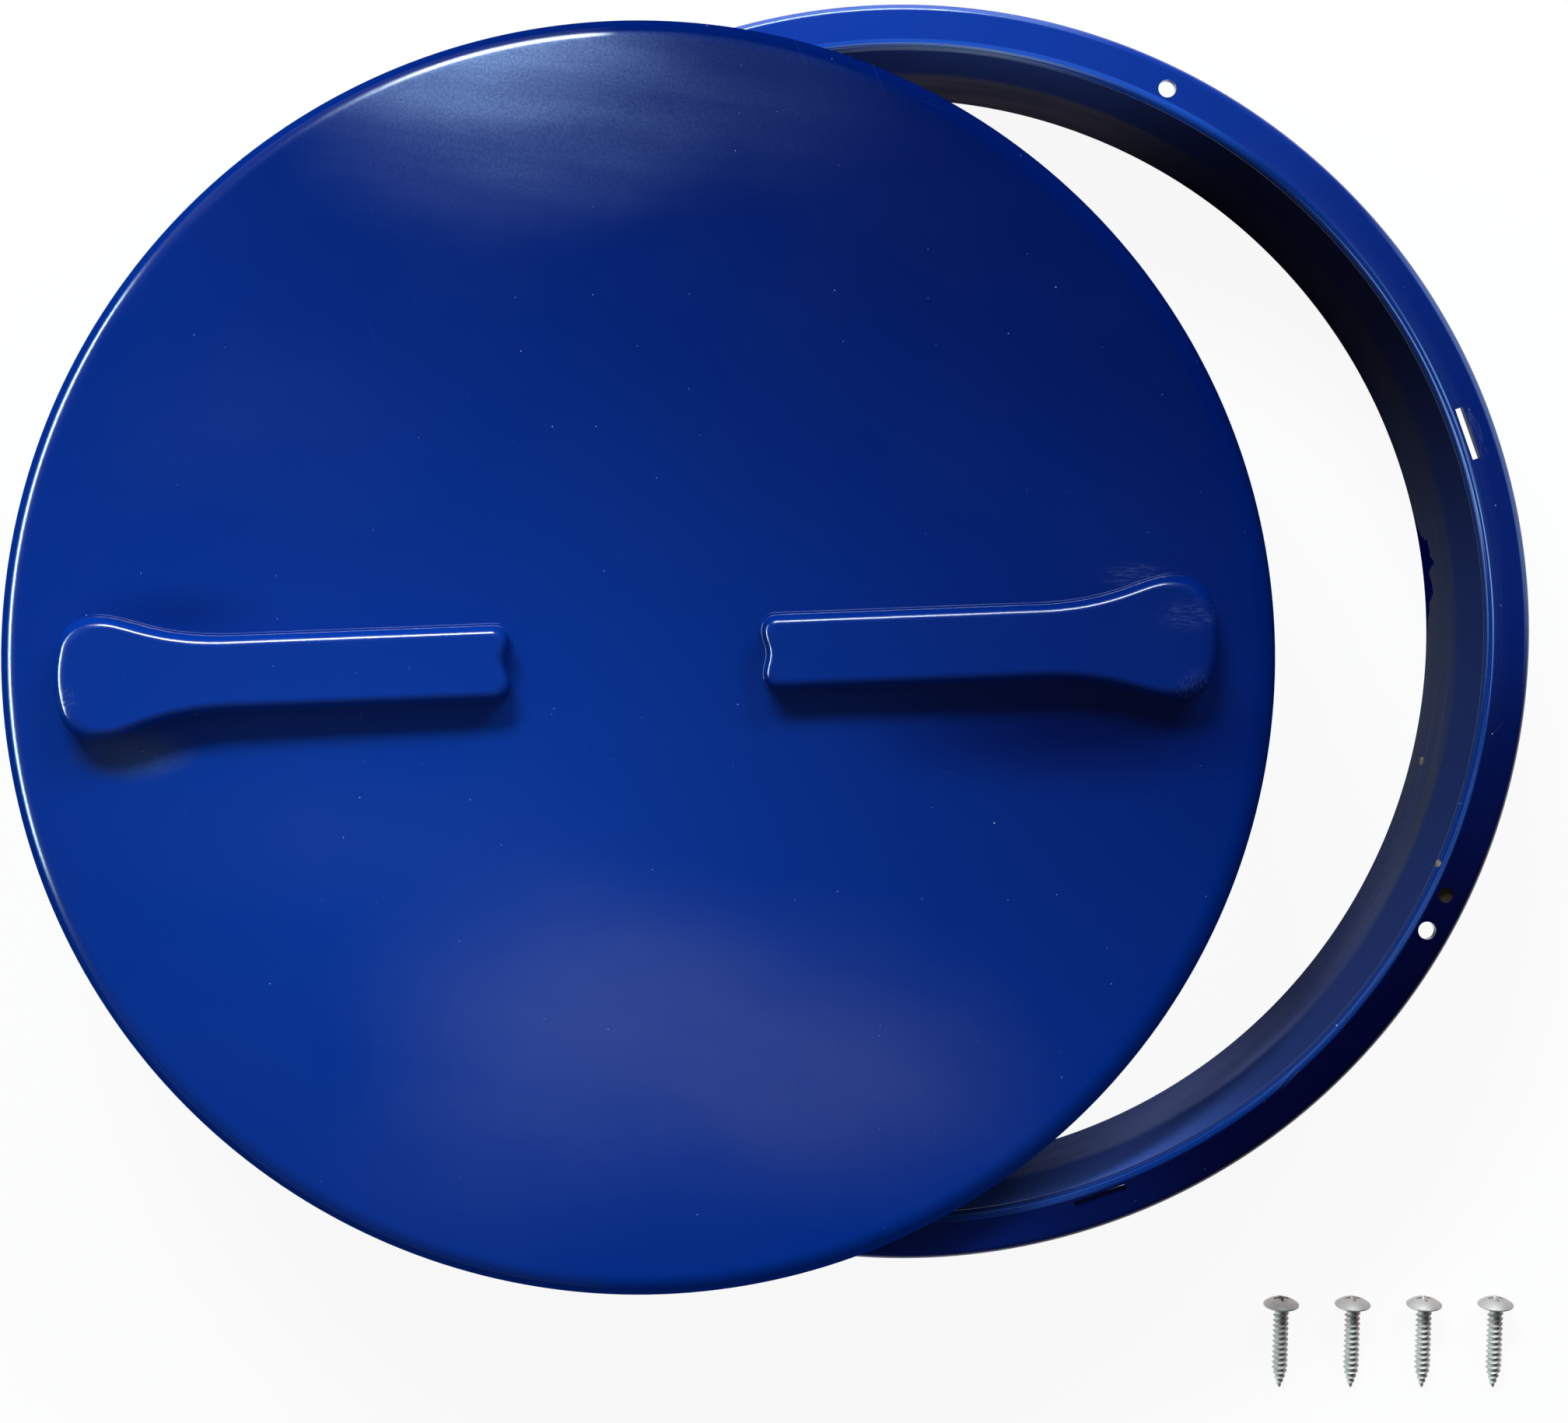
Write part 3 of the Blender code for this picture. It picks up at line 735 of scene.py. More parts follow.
def vector_maths(tree, operation, *values):
    node = tree.nodes.new("ShaderNodeVectorMath")
    node.operation = operation
    for socket, value in zip(node.inputs, values):
        feed(tree, socket, value)
    return node.outputs["Value" if operation in ("LENGTH", "DOT_PRODUCT") else "Vector"]


def ramp(tree, value, low, high, to_low=0.0, to_high=1.0):
    """value from low to high, eased to to_low and to_high."""
    node = tree.nodes.new("ShaderNodeMapRange")
    node.interpolation_type = "SMOOTHSTEP"
    feed(tree, node.inputs["Value"], value)
    for label, given in (("From Min", low), ("From Max", high), ("To Min", to_low), ("To Max", to_high)):
        feed(tree, node.inputs[label], given)
    return node.outputs["Result"]


def between(tree, turn, start, full, fading, end):
    """1 from full to fading, and 0 before start and past end: angles round the ring, in degrees."""
    rise = ramp(tree, turn, math.radians(start), math.radians(full))
    return product(tree, rise, ramp(tree, turn, math.radians(end), math.radians(fading)))


def noise(tree, vector, scale, detail=3.0, roughness=0.5):
    node = tree.nodes.new("ShaderNodeTexNoise")
    feed(tree, node.inputs["Vector"], vector)
    feed(tree, node.inputs["Scale"], scale)
    node.inputs["Detail"].default_value = detail
    node.inputs["Roughness"].default_value = roughness
    return node.outputs["Fac"]


def stretch(tree, vector, scale, turn=0.0):
    """The vector turned about Z, and then scaled along each axis."""
    spun = tree.nodes.new("ShaderNodeVectorRotate")
    spun.rotation_type = "Z_AXIS"
    feed(tree, spun.inputs["Vector"], vector)
    spun.inputs["Angle"].default_value = turn
    return vector_maths(tree, "MULTIPLY", spun.outputs["Vector"], scale)


def streaks(tree, vector, scale, detail=3.0, turn=0.0):
    """Noise drawn out along an axis: its scale is the smallest there."""
    return noise(tree, stretch(tree, vector, scale, turn), 1.0, detail)


def mixed(tree, share, first, second):
    """first, turning into second as share goes to 1. Both are colours."""
    node = tree.nodes.new("ShaderNodeMix")
    node.data_type = "RGBA"
    feed(tree, node.inputs["Factor"], share)
    feed(tree, node.inputs["A"], first)
    feed(tree, node.inputs["B"], second)
    return node.outputs["Result"]


def layered(tree, colour, *layers):
    """colour under layers, each a colour with its mask and strength."""
    for other, mask, strength in layers:
        colour = mixed(tree, maths(tree, "MULTIPLY", mask, strength), colour, other)
    return colour


def new_effect(name, **inputs):
    """A node group with its inputs, Vector first, and the socket for its Mask."""
    group = bpy.data.node_groups.new(name, "ShaderNodeTree")
    for label, value in {"Vector": (0.0, 0.0, 0.0), **inputs}.items():
        kind = "NodeSocketFloat" if isinstance(value, float) else "NodeSocketVector"
        group.interface.new_socket(label, in_out="INPUT", socket_type=kind).default_value = value
    group.interface.new_socket("Mask", in_out="OUTPUT", socket_type="NodeSocketFloat")
    given = group.nodes.new("NodeGroupInput").outputs
    return group, given, group.nodes.new("NodeGroupOutput").inputs["Mask"]


def effect(tree, name, vector, **values):
    """Places a shared effect, and gives its mask. Keywords name its inputs in lower case."""
    node = tree.nodes.new("ShaderNodeGroup")
    node.node_tree = bpy.data.node_groups[name]
    feed(tree, node.inputs["Vector"], vector)
    for label, value in values.items():
        feed(tree, node.inputs[label.capitalize()], value)
    return node.outputs["Mask"]


def make_patch_effect():
    """A soft oval patch with a ragged edge, as of haze or a smear."""
    group, given, mask = new_effect("oval_patch", Middle=(0.0, 0.0, 0.0), Reach=(0.1, 0.1, 1.0),
                                    Softness=1.0, Raggedness=0.2, Grain=16.0)
    away = vector_maths(group, "SUBTRACT", given["Vector"], given["Middle"])
    share = vector_maths(group, "LENGTH", vector_maths(group, "DIVIDE", away, given["Reach"]))
    rough = noise(group, given["Vector"], given["Grain"], 5.0, 0.6)
    pushed = maths(group, "MULTIPLY_ADD", maths(group, "SUBTRACT", rough, 0.5),
                   product(group, given["Raggedness"], 4.0), share)
    inner = maths(group, "SUBTRACT", 1.0, given["Softness"])
    group.links.new(ramp(group, pushed, inner, 1.0, 1.0, 0.0), mask)


def make_speck_effect():
    """Scattered specks, few of the cells holding one."""
    group, given, mask = new_effect("specks", Scale=60.0, Size=0.04, Share=0.3)
    cells = group.nodes.new("ShaderNodeTexVoronoi")
    cells.voronoi_dimensions = "2D"
    for label in ("Vector", "Scale"):
        group.links.new(given[label], cells.inputs[label])
    parts = group.nodes.new("ShaderNodeSeparateColor")
    group.links.new(cells.outputs["Color"], parts.inputs["Color"])
    size = product(group, given["Size"], maths(group, "POWER", parts.outputs["Green"], 2.0))
    near = ramp(group, cells.outputs["Distance"], product(group, size, 0.7), size, 1.0, 0.0)
    kept = maths(group, "LESS_THAN", parts.outputs["Red"], given["Share"])
    group.links.new(product(group, near, kept), mask)


def make_hairline_effect():
    """Fine scratches: long thin streaks in three directions, broken up by a coarser noise."""
    group, given, mask = new_effect("hairlines")
    layers = []
    for turn, scale in ((0.35, (9.0, 420.0, 1.0)), (1.25, (7.0, 380.0, 1.0)), (2.30, (11.0, 500.0, 1.0))):
        line = ramp(group, streaks(group, given["Vector"], scale, 1.0, turn), 0.735, 0.77)
        where = noise(group, stretch(group, given["Vector"], (1, 1, 1), turn), 9.0 + turn, 2.0)
        layers.append(product(group, line, ramp(group, where, 0.53, 0.66)))
    group.links.new(largest(group, *layers), mask)


def make_scuff_effect():
    """Short rubbed streaks inside a soft oval."""
    group, given, mask = new_effect("scuff", Middle=(0.0, 0.0, 0.0), Reach=(0.02, 0.01, 1.0),
                                    Grain=(60.0, 260.0, 1.0))
    patch = effect(group, "oval_patch", given["Vector"], middle=given["Middle"], reach=given["Reach"],
                   softness=0.7, grain=20.0)
    drawn_out = vector_maths(group, "MULTIPLY", given["Vector"], given["Grain"])
    marks = ramp(group, noise(group, drawn_out, 1.0, 4.0, 0.65), 0.42, 0.74)
    group.links.new(product(group, patch, marks), mask)


def new_material(name, colour):
    """A material with its Principled shader and the object's own coordinates."""
    made = bpy.data.materials.new(name)
    made.use_nodes = True
    made.diffuse_color = colour
    tree = made.node_tree
    shader = tree.nodes["Principled BSDF"]
    place = tree.nodes.new("ShaderNodeTexCoord").outputs["Object"]
    return made, tree, shader, place


def surface(tree, shader, colour, roughness, shine, bumps=()):
    """Feeds the shader. The bumps, each a height, strength and distance, are stacked into its Normal."""
    for label, value in (("Base Color", colour), ("Roughness", roughness), ("Specular IOR Level", shine)):
        feed(tree, shader.inputs[label], value)
    normal = None
    for height, strength, distance in bumps:
        bump = tree.nodes.new("ShaderNodeBump")
        bump.inputs["Strength"].default_value = strength
        bump.inputs["Distance"].default_value = distance
        tree.links.new(height, bump.inputs["Height"])
        if normal:
            tree.links.new(normal, bump.inputs["Normal"])
        normal = bump.outputs["Normal"]
    if normal:
        tree.links.new(normal, shader.inputs["Normal"])


def along(tree, place, way):
    """How far the place lies along a way."""
    return vector_maths(tree, "DOT_PRODUCT", place, way)


def hazed(tree, place, patches):
    """The sum of soft patches on the lid's top, wiped in one direction."""
    total = None
    for middle, reach, strength in patches:
        patch = effect(tree, "oval_patch", place, middle=(*middle, LID_TOP), reach=(*reach, 1.0),
                       raggedness=0.06)
        share = product(tree, patch, strength)
        total = share if total is None else maths(tree, "ADD", total, share)
    wiping = ramp(tree, streaks(tree, place, (7.0, 30.0, 7.0), 4.0, 0.25), 0.3, 0.7, 0.88, 1.12)
    return product(tree, total, wiping)


def gritty(tree, colour, place, vector, middle, reach, grain):
    """colour with a ragged piece of grit laid over it."""
    grit = effect(tree, "oval_patch", vector, middle=middle, reach=reach, softness=0.4, raggedness=0.22,
                  grain=grain)
    crumbs = ramp(tree, noise(tree, place, 1400.0), 0.42, 0.58)
    return mixed(tree, grit, colour, mixed(tree, crumbs, GRIT, DIRT_AND_SHADE_BROWN))


# Lid's material.

def lid_blue(tree, place, on_grips, left_half):
    """Blue with painted shade that deepens it to navy towards the far right and clouds a little, painted
    light on the near left and on the grips' tops, the left one more, and painted shadows beside the grips.
    """
    # Painted shade, deepening the blue towards the far right.
    painted_shade = ramp(tree, along(tree, place, (0.60, 0.80, 0.0)), -0.20, 0.42)
    clouds = noise(tree, stretch(tree, place, (1.0, 1.5, 1.0)), 4.0, 3.0)
    painted_shade = product(tree, painted_shade, ramp(tree, clouds, 0.2, 0.8, 0.86, 1.0))
    # Painted light on the near left.
    painted_light = effect(tree, "oval_patch", place, middle=(-0.085, -0.085, LID_TOP), reach=(0.30, 0.27, 1.0),
                 raggedness=0.05, grain=6.0)
    # Painted light on the grips' tops, more on the left one.
    on_grips = product(tree, on_grips, maths(tree, "MULTIPLY_ADD", left_half, 0.08, 0.06))
    # Painted shadows beside the grips.
    shadow_layers = []
    for middle, reach, strength in LID_PAINTED_SHADOWS:
        shadow = effect(tree, "oval_patch", place, middle=middle, reach=reach, raggedness=0.05)
        shadow_layers.append((LID_PAINTED_SHADE_NAVY, shadow, strength))
    return layered(tree, LID_BLUE, (LID_PAINTED_LIGHT_BLUE, painted_light, 1.0), (LID_PAINTED_SHADE_NAVY, painted_shade, 1.0),
                   (RING_BLUE, on_grips, 1.0), *shadow_layers)


def far_smudge_and_sheen(tree, place, height):
    """A sandy smudge of hand strokes at the far rim, on the flat top alone. Its lighter blue is partly a
    painted sheen.
    """
    sandy = ramp(tree, noise(tree, place, 900.0, 2.0), 0.30, 0.74, 0.78, 1.22)
    strokes = ramp(tree, streaks(tree, place, (9.0, 75.0, 9.0), 4.0, 0.12), 0.3, 0.7, 0.76, 1.14)
    on_top = ramp(tree, height, LID_DEPTH - 0.0014, LID_DEPTH - 0.0002)
    return product(tree, hazed(tree, place, LID_SMUDGES_AND_SHEEN), on_top, sandy, strokes)


def green_dust(tree, place):
    """Dust under the left paddle, grainy in its middle."""
    grainy = effect(tree, "scuff", place, middle=(-0.232, -0.045, LID_TOP), reach=(0.036, 0.017, 1.0),
                    grain=(600.0, 1100.0, 1.0))
    soft = effect(tree, "oval_patch", place, middle=(-0.236, -0.045, LID_TOP), reach=(0.034, 0.015, 1.0),
                  softness=0.8, raggedness=0.10, grain=90.0)
    return maths(tree, "ADD", grainy, soft)


def lid_gloss(tree, place, height, left_half):
    """How strong the lid's shine is. The skirt, the grips' walls and the wiped part of the rim are dull,
    and the rounded rim and the grips' upper edges are rubbed shiny."""
    over_rim = maths(tree, "SUBTRACT", height, LID_DEPTH)
    over_grips = maths(tree, "SUBTRACT", height, GRIP_RISE)
    grip_wall = product(tree, ramp(tree, over_rim, 0.0042, 0.0052),
                        ramp(tree, over_grips, -0.0009, -0.0013))
    skirt = ramp(tree, over_rim, -0.0017, -0.0025)
    wiped = product(tree, ramp(tree, over_rim, 0.0002, -0.0002),
                    ramp(tree, along(tree, place, (1.0, 0.0, 0.0)), -0.030, -0.008))
    dull = largest(tree, grip_wall, skirt, wiped)
    grip_edge = product(tree, ramp(tree, over_rim, 0.0052, 0.0056),
                        ramp(tree, over_grips, -0.00003, -0.00012),
                        maths(tree, "MULTIPLY_ADD", left_half, 0.40, 0.05))
    far_left = ramp(tree, along(tree, place, (-0.40, 0.92, 0.0)), 0.24, 0.29, 0.15, 0.50)
    rim = product(tree, ramp(tree, over_rim, -0.00005, -0.0004), far_left)
    return product(tree, maths(tree, "ADD", largest(tree, grip_edge, rim), 0.5),
                   maths(tree, "SUBTRACT", 1.0, dull))


def lid_gelcoat():
    made, tree, shader, place = new_material("lid_gelcoat", LID_BLUE)
    shader.inputs["IOR"].default_value = GELCOAT_IOR
    height = along(tree, place, (0.0, 0.0, 1.0))
    on_grips = ramp(tree, height, GRIP_RISE - 0.0024, GRIP_RISE - 0.0006)
    left_half = ramp(tree, along(tree, place, (1.0, 0.0, 0.0)), 0.05, -0.05)
    haze_and_sheen = hazed(tree, place, LID_HAZE_AND_SHEEN)
    smudge_and_sheen = far_smudge_and_sheen(tree, place, height)
    worn = largest(tree, *(effect(tree, "scuff", place, middle=middle, reach=reach, grain=grain)
                           for middle, reach, grain in LID_SCUFFS))
    lines = effect(tree, "hairlines", place)
    specks = largest(tree, effect(tree, "specks", place, scale=46.0, size=0.013, share=0.45),
                     effect(tree, "specks", place, scale=13.0, size=0.005, share=0.5))

    # Over the painted light and shade: the haze's painted sheen, smudges that are partly a painted sheen,
    # green dust, scuffs, hairlines and specks.
    colour = layered(tree, lid_blue(tree, place, on_grips, left_half), (PAINTED_SHEEN_PALE, haze_and_sheen, 1.0),
                     (SMUDGE_AND_SHEEN_BLUE, smudge_and_sheen, 1.0), (GREEN_DUST, green_dust(tree, place), 0.22),
                     (SMUDGE_AND_SHEEN_BLUE, worn, 0.10), (DUST, lines, 0.006), (DUST, specks, 0.60))

    rough = ramp(tree, noise(tree, place, 14.0, 4.0), 0.3, 0.7, 0.16, 0.21)
    for mask, gain in ((worn, 0.20), (haze_and_sheen, 0.3), (smudge_and_sheen, 0.05)):
        rough = maths(tree, "MULTIPLY_ADD", mask, gain, rough)
    surface(tree, shader, colour, rough, lid_gloss(tree, place, height, left_half), [
        (noise(tree, place, 7.0, 2.0), 0.25, 0.003),
        (noise(tree, place, 420.0, 2.0), 0.05, 0.0004),
        (maths(tree, "SUBTRACT", specks, lines), 0.10, 0.0002),
    ])
    return made


# Ring's material.

def around_axis(tree, place):
    """Angle, radius and height round Z as sockets, and the three as one vector for streaks round it."""
    axes = tree.nodes.new("ShaderNodeSeparateXYZ")
    tree.links.new(place, axes.inputs["Vector"])
    x, y, z = axes.outputs
    radius = vector_maths(tree, "LENGTH", vector_maths(tree, "MULTIPLY", place, (1.0, 1.0, 0.0)))
    turn = maths(tree, "ARCTAN2", y, x)
    joined = tree.nodes.new("ShaderNodeCombineXYZ")
    for label, value in (("X", turn), ("Y", radius), ("Z", z)):
        tree.links.new(value, joined.inputs[label])
    return turn, radius, z, joined.outputs["Vector"]


def facing(tree, turn, degrees):
    """1 on the side of the ring at that angle, and -1 across from it."""
    return maths(tree, "COSINE", maths(tree, "SUBTRACT", turn, math.radians(degrees)))


def flange_blue(tree, place, turn):
    """Painted light on the far left side, and painted shade, deep navy, across from it."""
    cloud = maths(tree, "SUBTRACT", noise(tree, place, 7.0, 4.0), 0.5)
    pushed = maths(tree, "MULTIPLY_ADD", cloud, 0.20, facing(tree, turn, 138))
    colour = mixed(tree, ramp(tree, pushed, -1.00, -0.66), RING_PAINTED_SHADE_DEEP, RING_PAINTED_SHADE_MIDDLE)
    return mixed(tree, ramp(tree, pushed, -0.62, 1.00), colour, RING_BLUE)


def mouth_wear_and_light(tree, colour, turn, past_bore, lines, on_top, on_mouth):
    """The rounded mouth, with painted light on its far side, fine worn lines along it that also carry
    painted highlights, most on the right and at the far side, and painted shade on its inner part.
    """
    lit_side = product(tree, on_top, between(tree, turn, 50, 64, 150, 176))
    far_highlit_side = product(tree, on_top, between(tree, turn, 66, 84, 150, 176))
    right_highlit = between(tree, turn, -12, 4, 30, 48)
    rubbed_and_highlit = product(tree, ramp(tree, lines, 0.46, 0.62), on_mouth, ramp(tree, past_bore, 0.0006, 0.0016))
    far_highlight_lines = product(tree, ramp(tree, lines, 0.40, 0.58), far_highlit_side,
                        ramp(tree, past_bore, 0.0030, 0.0014))
    inner = product(tree, on_mouth, ramp(tree, past_bore, 0.0014, 0.0004))
    # Painted light on the far side, worn lines with painted highlights, and painted shade on the inner
    # part.
    return layered(tree, colour, (MOUTH_BLUE, on_mouth, 0.80),
                   (PAINTED_LIGHT_EDGE_BLUE, product(tree, on_mouth, lit_side), 0.75),
                   (WORN_AND_HIGHLIGHT_BLUE, rubbed_and_highlit, maths(tree, "MULTIPLY_ADD", right_highlit, 0.80, 0.12)),
                   (PAINTED_HIGHLIGHT_PALE, far_highlight_lines, 0.90),
                   (WALL_NAVY, inner, ramp(tree, lit_side, 0.0, 1.0, 0.75, 0.0)))


def outer_edge_highlight(tree, turn, radius, on_top):
    """The flange's outer edge, where a painted highlight makes it pale on the right and at the far side."""
    past_edge = maths(tree, "SUBTRACT", radius, RING_RADIUS)
    on_edge = product(tree, ramp(tree, past_edge, -0.0036, -0.0026),
                      ramp(tree, past_edge, -0.0008, -0.0016))
    right = between(tree, turn, -8, 8, 32, 44)
    far = product(tree, on_top, between(tree, turn, 68, 80, 150, 176))
    return product(tree, on_edge, on_top, largest(tree, right, far))


def pilot_shade_and_grit(tree, colour, place, z):
    """Dark brown on the pilot hole's floor, the painted shade of the ground as seen through a hole, and a
    piece of grit on the mouth.
    """
    pilot = on_circle(SCREW_CIRCLE, PILOT_HOLE_ANGLE, RING_HEIGHT)
    from_pilot = vector_maths(tree, "LENGTH", vector_maths(tree, "SUBTRACT", place, pilot))
    in_pilot = product(tree, maths(tree, "LESS_THAN", from_pilot, PILOT_SHADE_REACH),
                       maths(tree, "LESS_THAN", z, RING_HEIGHT - PILOT_HOLE_DEPTH / 2))
    # Painted shade on the pilot hole's floor.
    colour = mixed(tree, in_pilot, colour, mixed(tree, noise(tree, place, 900.0, 4.0), DIRT_AND_SHADE_BROWN, DARK_PAINTED_SHADE))
    return gritty(tree, colour, place, place, on_circle(*MOUTH_GRIT), (0.0026, 0.0024, 0.0026), 650.0)


def ring_gelcoat():
    made, tree, shader, place = new_material("ring_gelcoat", RING_BLUE)
    shader.inputs["IOR"].default_value = GELCOAT_IOR
    turn, radius, z, around = around_axis(tree, place)
    past_bore = maths(tree, "SUBTRACT", radius, BORE_RADIUS)
    on_top = ramp(tree, maths(tree, "SUBTRACT", z, RING_HEIGHT), -0.0048, -0.0042)
    on_mouth = product(tree, on_top, ramp(tree, past_bore, 0.0048, 0.0034))
    lines = streaks(tree, around, (1.6, 850.0, 850.0), 2.0)

    # A painted sheen runs beside the mouth on the right, in wiped streaks.
    wiping = ramp(tree, streaks(tree, around, (1.6, 900.0, 900.0)), 0.36, 0.72)
    painted_sheen = product(tree, on_top, ramp(tree, past_bore, 0.0125, 0.0030),
                    between(tree, turn, -16, 6, 36, 64), maths(tree, "MULTIPLY_ADD", wiping, 0.6, 0.4))
    colour = layered(tree, flange_blue(tree, place, turn), (WORN_AND_HIGHLIGHT_BLUE, painted_sheen, 0.040))
    colour = mouth_wear_and_light(tree, colour, turn, past_bore, lines, on_top, on_mouth)
    colour = layered(tree, colour, (WORN_AND_HIGHLIGHT_BLUE, outer_edge_highlight(tree, turn, radius, on_top), 0.32))
    colour = pilot_shade_and_grit(tree, colour, place, z)

    # Rubbed plastic lies beside the slot, and dust and hairlines all over.
    beside_slot = effect(tree, "scuff", vector_maths(tree, "MULTIPLY", around, (SLOT_CIRCLE, 1.0, 0.0)),
                         middle=(SLOT_ANGLE * SLOT_CIRCLE, SLOT_CIRCLE + 0.0040, 0.0),
                         reach=(0.016, 0.0035, 1.0), grain=(160.0, 900.0, 1.0))
    hair = effect(tree, "hairlines", place)
    specks = effect(tree, "specks", place, scale=64.0, size=0.026, share=0.35)
    colour = layered(tree, colour, (DUST, beside_slot, 0.07), (DUST, hair, 0.05), (DUST, specks, 0.55))
    rough = ramp(tree, noise(tree, place, 18.0, 4.0), 0.3, 0.7, 0.15, 0.21)
    rough = maths(tree, "MULTIPLY_ADD", hair, 0.06, rough)
    surface(tree, shader, colour, rough, maths(tree, "MULTIPLY_ADD", on_mouth, -0.5, 0.5), [
        (noise(tree, place, 22.0, 3.0), 0.25, 0.0012),
        (noise(tree, place, 420.0, 2.0), 0.06, 0.0004),
        (product(tree, lines, on_mouth), 0.5, 0.0003),
    ])
    return made


# Materials of the neck's inside and of the screws.

def wall_colour(tree, turn, z, around, clouds):
    """Navy above a wavering crease and dull grey below, with painted light where the lower wall faces the
    light and at the near and far ends, and painted shade between.
    """
    # Painted light at the near and far ends and where the lower wall faces the light, and painted shade
    # between them.
    near_side = between(tree, turn, -150, -105, -58, -40)
    far_side = between(tree, turn, 54, 92, 105, 150)
    dusty = ramp(tree, streaks(tree, around, (3.0, 8.0, 300.0)), 0.50, 0.78)
    grey = layered(tree, WALL_GREY, (WALL_PAINTED_LIGHT_BLUE_GREY, ramp(tree, facing(tree, turn, -62), 0.70, 0.96), 1.0),
                   (WALL_NEAR_PAINTED_LIGHT_GREY, near_side, 1.0), (WALL_FAR_PAINTED_LIGHT_GREY, far_side, 1.0), (WALL_NAVY, clouds, 0.46),
                   (DUST, dusty, 0.02))
    blue = layered(tree, WALL_NAVY, (WALL_FAR_PAINTED_LIGHT_BLUE, far_side, 1.0),
                   (WALL_NEAR_PAINTED_LIGHT_BLUE, between(tree, turn, -150, -105, -70, -48), 1.0))
    wavering = maths(tree, "MULTIPLY_ADD", streaks(tree, around, (4.0, 1.0, 1.0)), 0.006,
                     NECK_CREASE_HEIGHT - 0.0025)
    below = ramp(tree, maths(tree, "SUBTRACT", z, wavering), 0.0060, -0.0040)
    return layered(tree, blue, (grey, below, 1.0), (WALL_PAINTED_SHADE, between(tree, turn, 0, 36, 50, 72), 0.80))


def bore_gelcoat():
    """The unpolished inside of the neck, with a chip out of its foot on the right, grit and dust."""
    made, tree, shader, place = new_material("bore_gelcoat", WALL_GREY)
    turn, _, z, around = around_axis(tree, place)
    clouds = ramp(tree, streaks(tree, around, (2.4, 8.0, 34.0), 5.0), 0.34, 0.70)
    ragged = streaks(tree, around, (26.0, 1.0, 90.0), 4.0)
    chip_height = product(tree, between(tree, turn, -2, 5, 8, 13),
                          ramp(tree, ragged, 0.40, 0.68, 0.008, 0.022))
    chip = maths(tree, "LESS_THAN", z, chip_height)
    unrolled = vector_maths(tree, "MULTIPLY", around, (BORE_RADIUS, 0.0, 1.0))
    colour = layered(tree, wall_colour(tree, turn, z, around, clouds), (CHIP_NAVY, chip, 1.0))
    colour = gritty(tree, colour, place, unrolled, (WALL_GRIT_ANGLE * BORE_RADIUS, 0.0, WALL_GRIT_HEIGHT),
                    (0.0028, 1.0, 0.0040), 600.0)
    specks = effect(tree, "specks", unrolled, scale=160.0, size=0.12, share=0.10)
    colour = layered(tree, colour, (DUST, specks, 0.25))
    surface(tree, shader, colour, ramp(tree, clouds, 0.0, 1.0, 0.62, 0.80), 0.0, [
        (streaks(tree, around, (6.0, 20.0, 60.0)), 0.30, 0.0008),
        (noise(tree, place, 420.0, 2.0), 0.08, 0.0004),
    ])
    return made


def zinc_steel():
    made, tree, shader, place = new_material("zinc_steel", ZINC)
    shader.inputs["Metallic"].default_value = 1.0
    tone = ramp(tree, noise(tree, place, 240.0, 4.0), 0.40, 0.75)
    spots = effect(tree, "specks", place, scale=900.0, size=0.35, share=0.25)
    colour = layered(tree, ZINC, (ZINC_DARK, tone, 0.35), (ZINC_DARK, spots, 0.30))
    rough = ramp(tree, noise(tree, place, 700.0), 0.3, 0.7, 0.60, 0.72)
    surface(tree, shader, colour, rough, 0.5, [(noise(tree, place, 1500.0), 0.12, 0.0001)])
    return made


# Floor, light and camera.

def seen_directly(tree):
    """1 for what is seen, straight or in gloss and glass, and 0 for the light that spreads."""
    path = tree.nodes.new("ShaderNodeLightPath")
    return largest(tree, *(path.outputs[f"Is {kind} Ray"] for kind in ("Camera", "Glossy", "Transmission")))


def blend_into(output, tree, share, first, second):
    """Feeds the output's surface with first, turning into second as share goes to 1."""
    blend = tree.nodes.new("ShaderNodeMixShader")
    for socket, value in zip(blend.inputs, (share, first, second)):
        tree.links.new(value, socket)
    tree.links.new(blend.outputs["Shader"], tree.nodes[output].inputs["Surface"])


def build_floor():
    bm = bmesh.new()
    bmesh.ops.create_grid(bm, x_segments=1, y_segments=1, size=FLOOR_REACH)
    floor = mesh_object("floor", bm)
    made, tree, shader, _ = new_material("floor_white", FLOOR_WHITE)
    surface(tree, shader, FLOOR_WHITE, 1.0, 0.0)
    shine = tree.nodes.new("ShaderNodeEmission")
    blend_into("Material Output", tree, product(tree, seen_directly(tree), FLOOR_GLOW),
               shader.outputs["BSDF"], shine.outputs["Emission"])
    floor.data.materials.append(made)


def area_light(name, place, aim, size, watts, gloss=False, tint=WINDOW_TINT):
    """A lamp that shows only in gloss, or one that only lights."""
    lamp = bpy.data.lights.new(name, "AREA")
    lamp.shape = "RECTANGLE"
    lamp.size, lamp.size_y = size
    lamp.energy = watts
    lamp.color = tint
    obj = new_object(name, lamp)
    obj.location = place
    obj.rotation_euler = (Vector(aim) - Vector(place)).to_track_quat("-Z", "Y").to_euler()
    obj.visible_diffuse = not gloss
    obj.visible_glossy = gloss


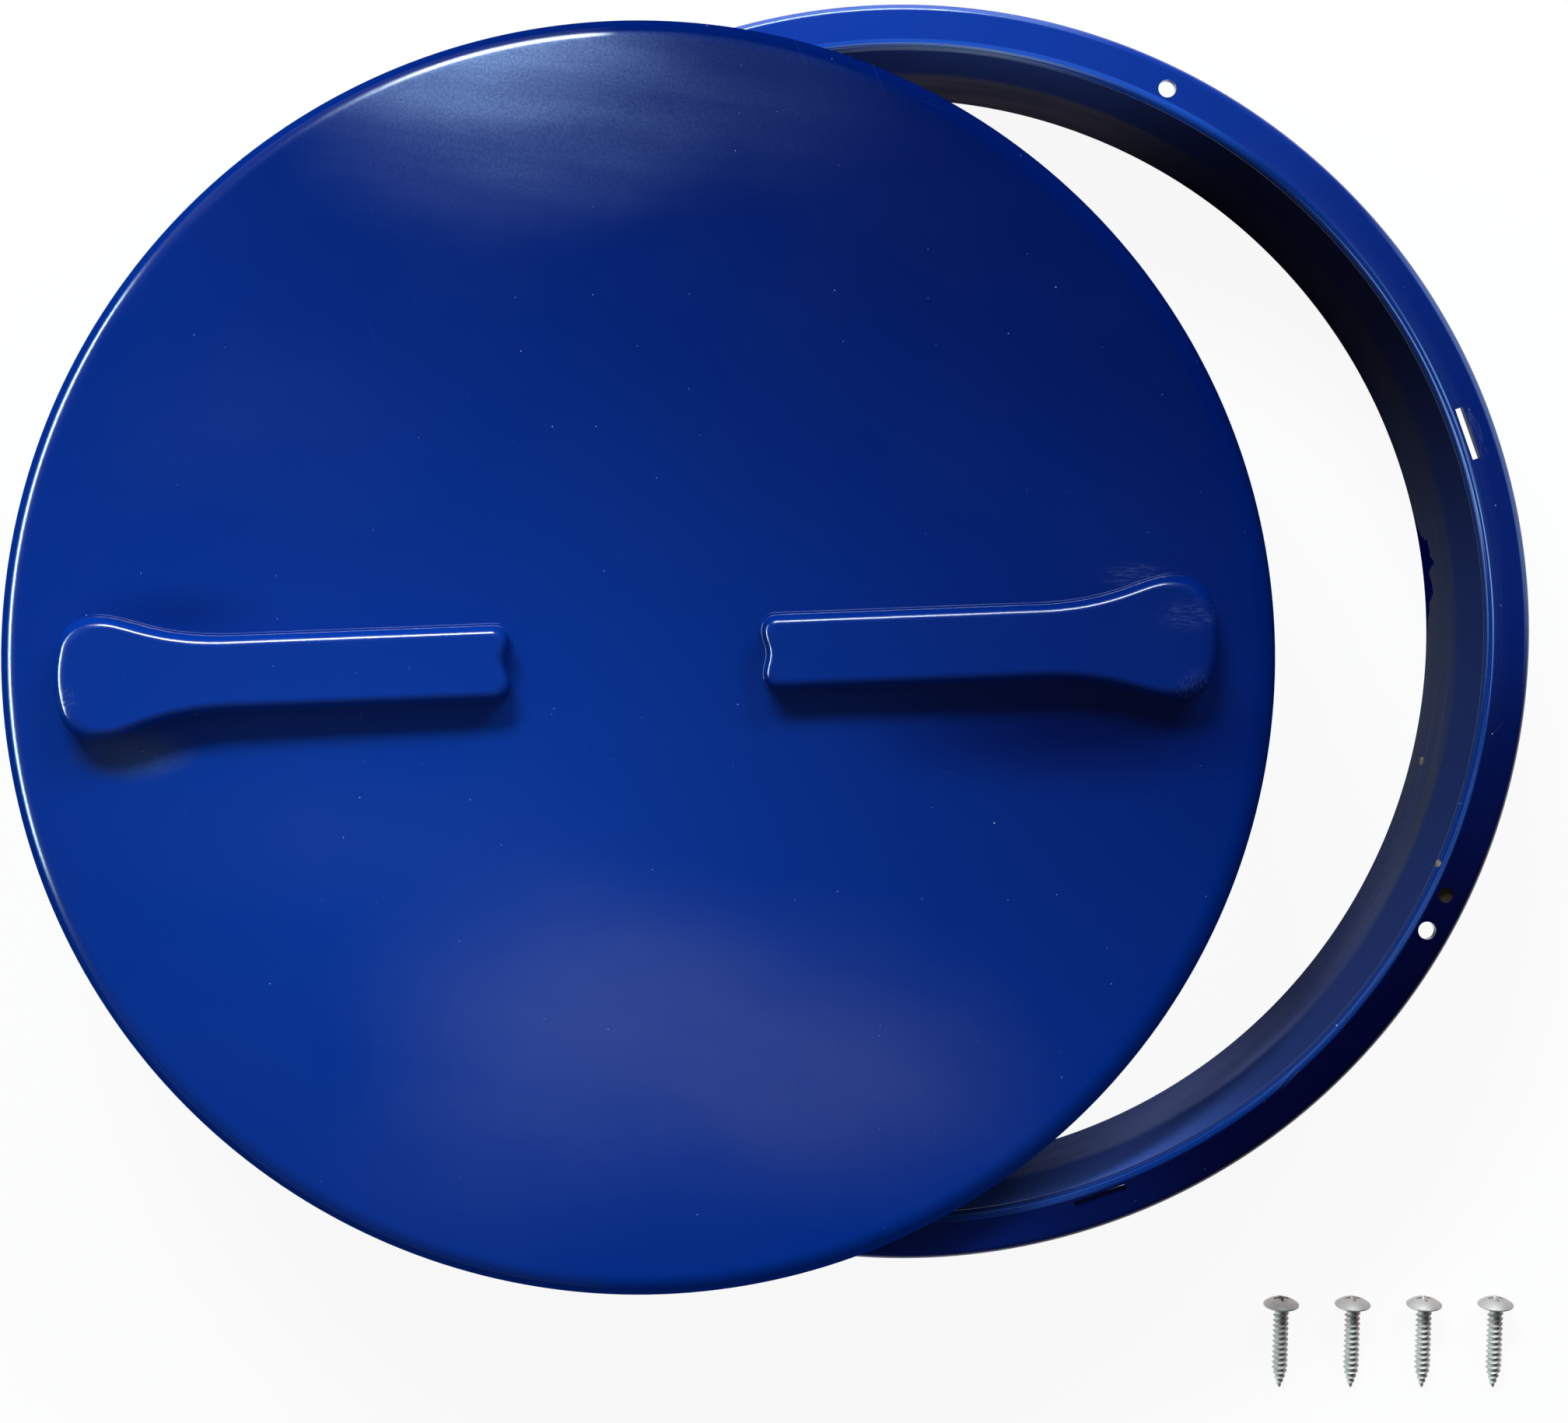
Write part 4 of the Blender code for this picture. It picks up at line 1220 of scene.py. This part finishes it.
def build_light():
    world = bpy.data.worlds.new("studio")
    bpy.context.scene.world = world
    world.use_nodes = True
    tree = world.node_tree
    spread = tree.nodes["Background"]
    spread.inputs["Color"].default_value = (1.0, 1.0, 1.0, 1.0)
    spread.inputs["Strength"].default_value = WORLD_LIGHT
    seen = tree.nodes.new("ShaderNodeBackground")
    way = tree.nodes.new("ShaderNodeTexCoord").outputs["Generated"]
    left_side = ramp(tree, along(tree, way, (-0.84, 0.54, 0.0)), 0.45, 0.75, 0.30, 1.0)
    pale_band = ramp(tree, along(tree, way, (0.0, 0.0, 1.0)), 0.10, 0.34, 0.50, 0.08)
    tree.links.new(product(tree, pale_band, left_side), seen.inputs["Strength"])
    blend_into("World Output", tree, seen_directly(tree), spread.outputs["Background"],
               seen.outputs["Background"])
    area_light("window", (-0.84, 2.41, 2.09), LAMP_AIM, (1.5, 0.6), 104)
    area_light("window_shine", (-0.375, 2.51, 2.09), LAMP_AIM, (1.6, 0.6), 150, gloss=True)
    area_light("far_right", (1.35, 2.3, 1.7), (0.05, 0.0, 0.05), (1.2, 0.6), 38)
    area_light("low_strip", (-2.55, 0.35, 0.90), (-0.3, 0.05, 0.1), (2.4, 0.32), 150, gloss=True,
               tint=STRIP_TINT)


def build_camera():
    """Straight above the lid, shifted as the photograph is framed."""
    eye = bpy.data.cameras.new("camera")
    camera = new_object("camera", eye)
    middle = (ring_low + ring_high) / 2
    camera.location = (middle.x + (BELOW_LENS[0] - RING_AXIS_PIXEL[0]) * METRES_PER_PIXEL,
                       middle.y - (BELOW_LENS[1] - RING_AXIS_PIXEL[1]) * METRES_PER_PIXEL, LENS_HEIGHT)
    eye.sensor_fit = "HORIZONTAL"
    eye.sensor_width = SENSOR_WIDTH
    eye.lens = SENSOR_WIDTH * (LENS_HEIGHT - RING_HEIGHT) / (METRES_PER_PIXEL * PHOTO_WIDTH)
    eye.shift_x = (PHOTO_WIDTH / 2 - BELOW_LENS[0]) / PHOTO_WIDTH
    eye.shift_y = -(PHOTO_HEIGHT / 2 - BELOW_LENS[1]) / PHOTO_WIDTH
    eye.clip_start = 0.05
    eye.clip_end = 60.0
    bpy.context.scene.camera = camera


def build():
    for make_effect in (make_patch_effect, make_speck_effect, make_hairline_effect, make_scuff_effect):
        make_effect()
    build_camera()
    build_ring(ring_gelcoat(), bore_gelcoat())
    build_lid(lid_gelcoat())
    build_screws(zinc_steel())
    build_floor()
    build_light()
    bpy.context.scene.view_settings.view_transform = "Standard"


build()
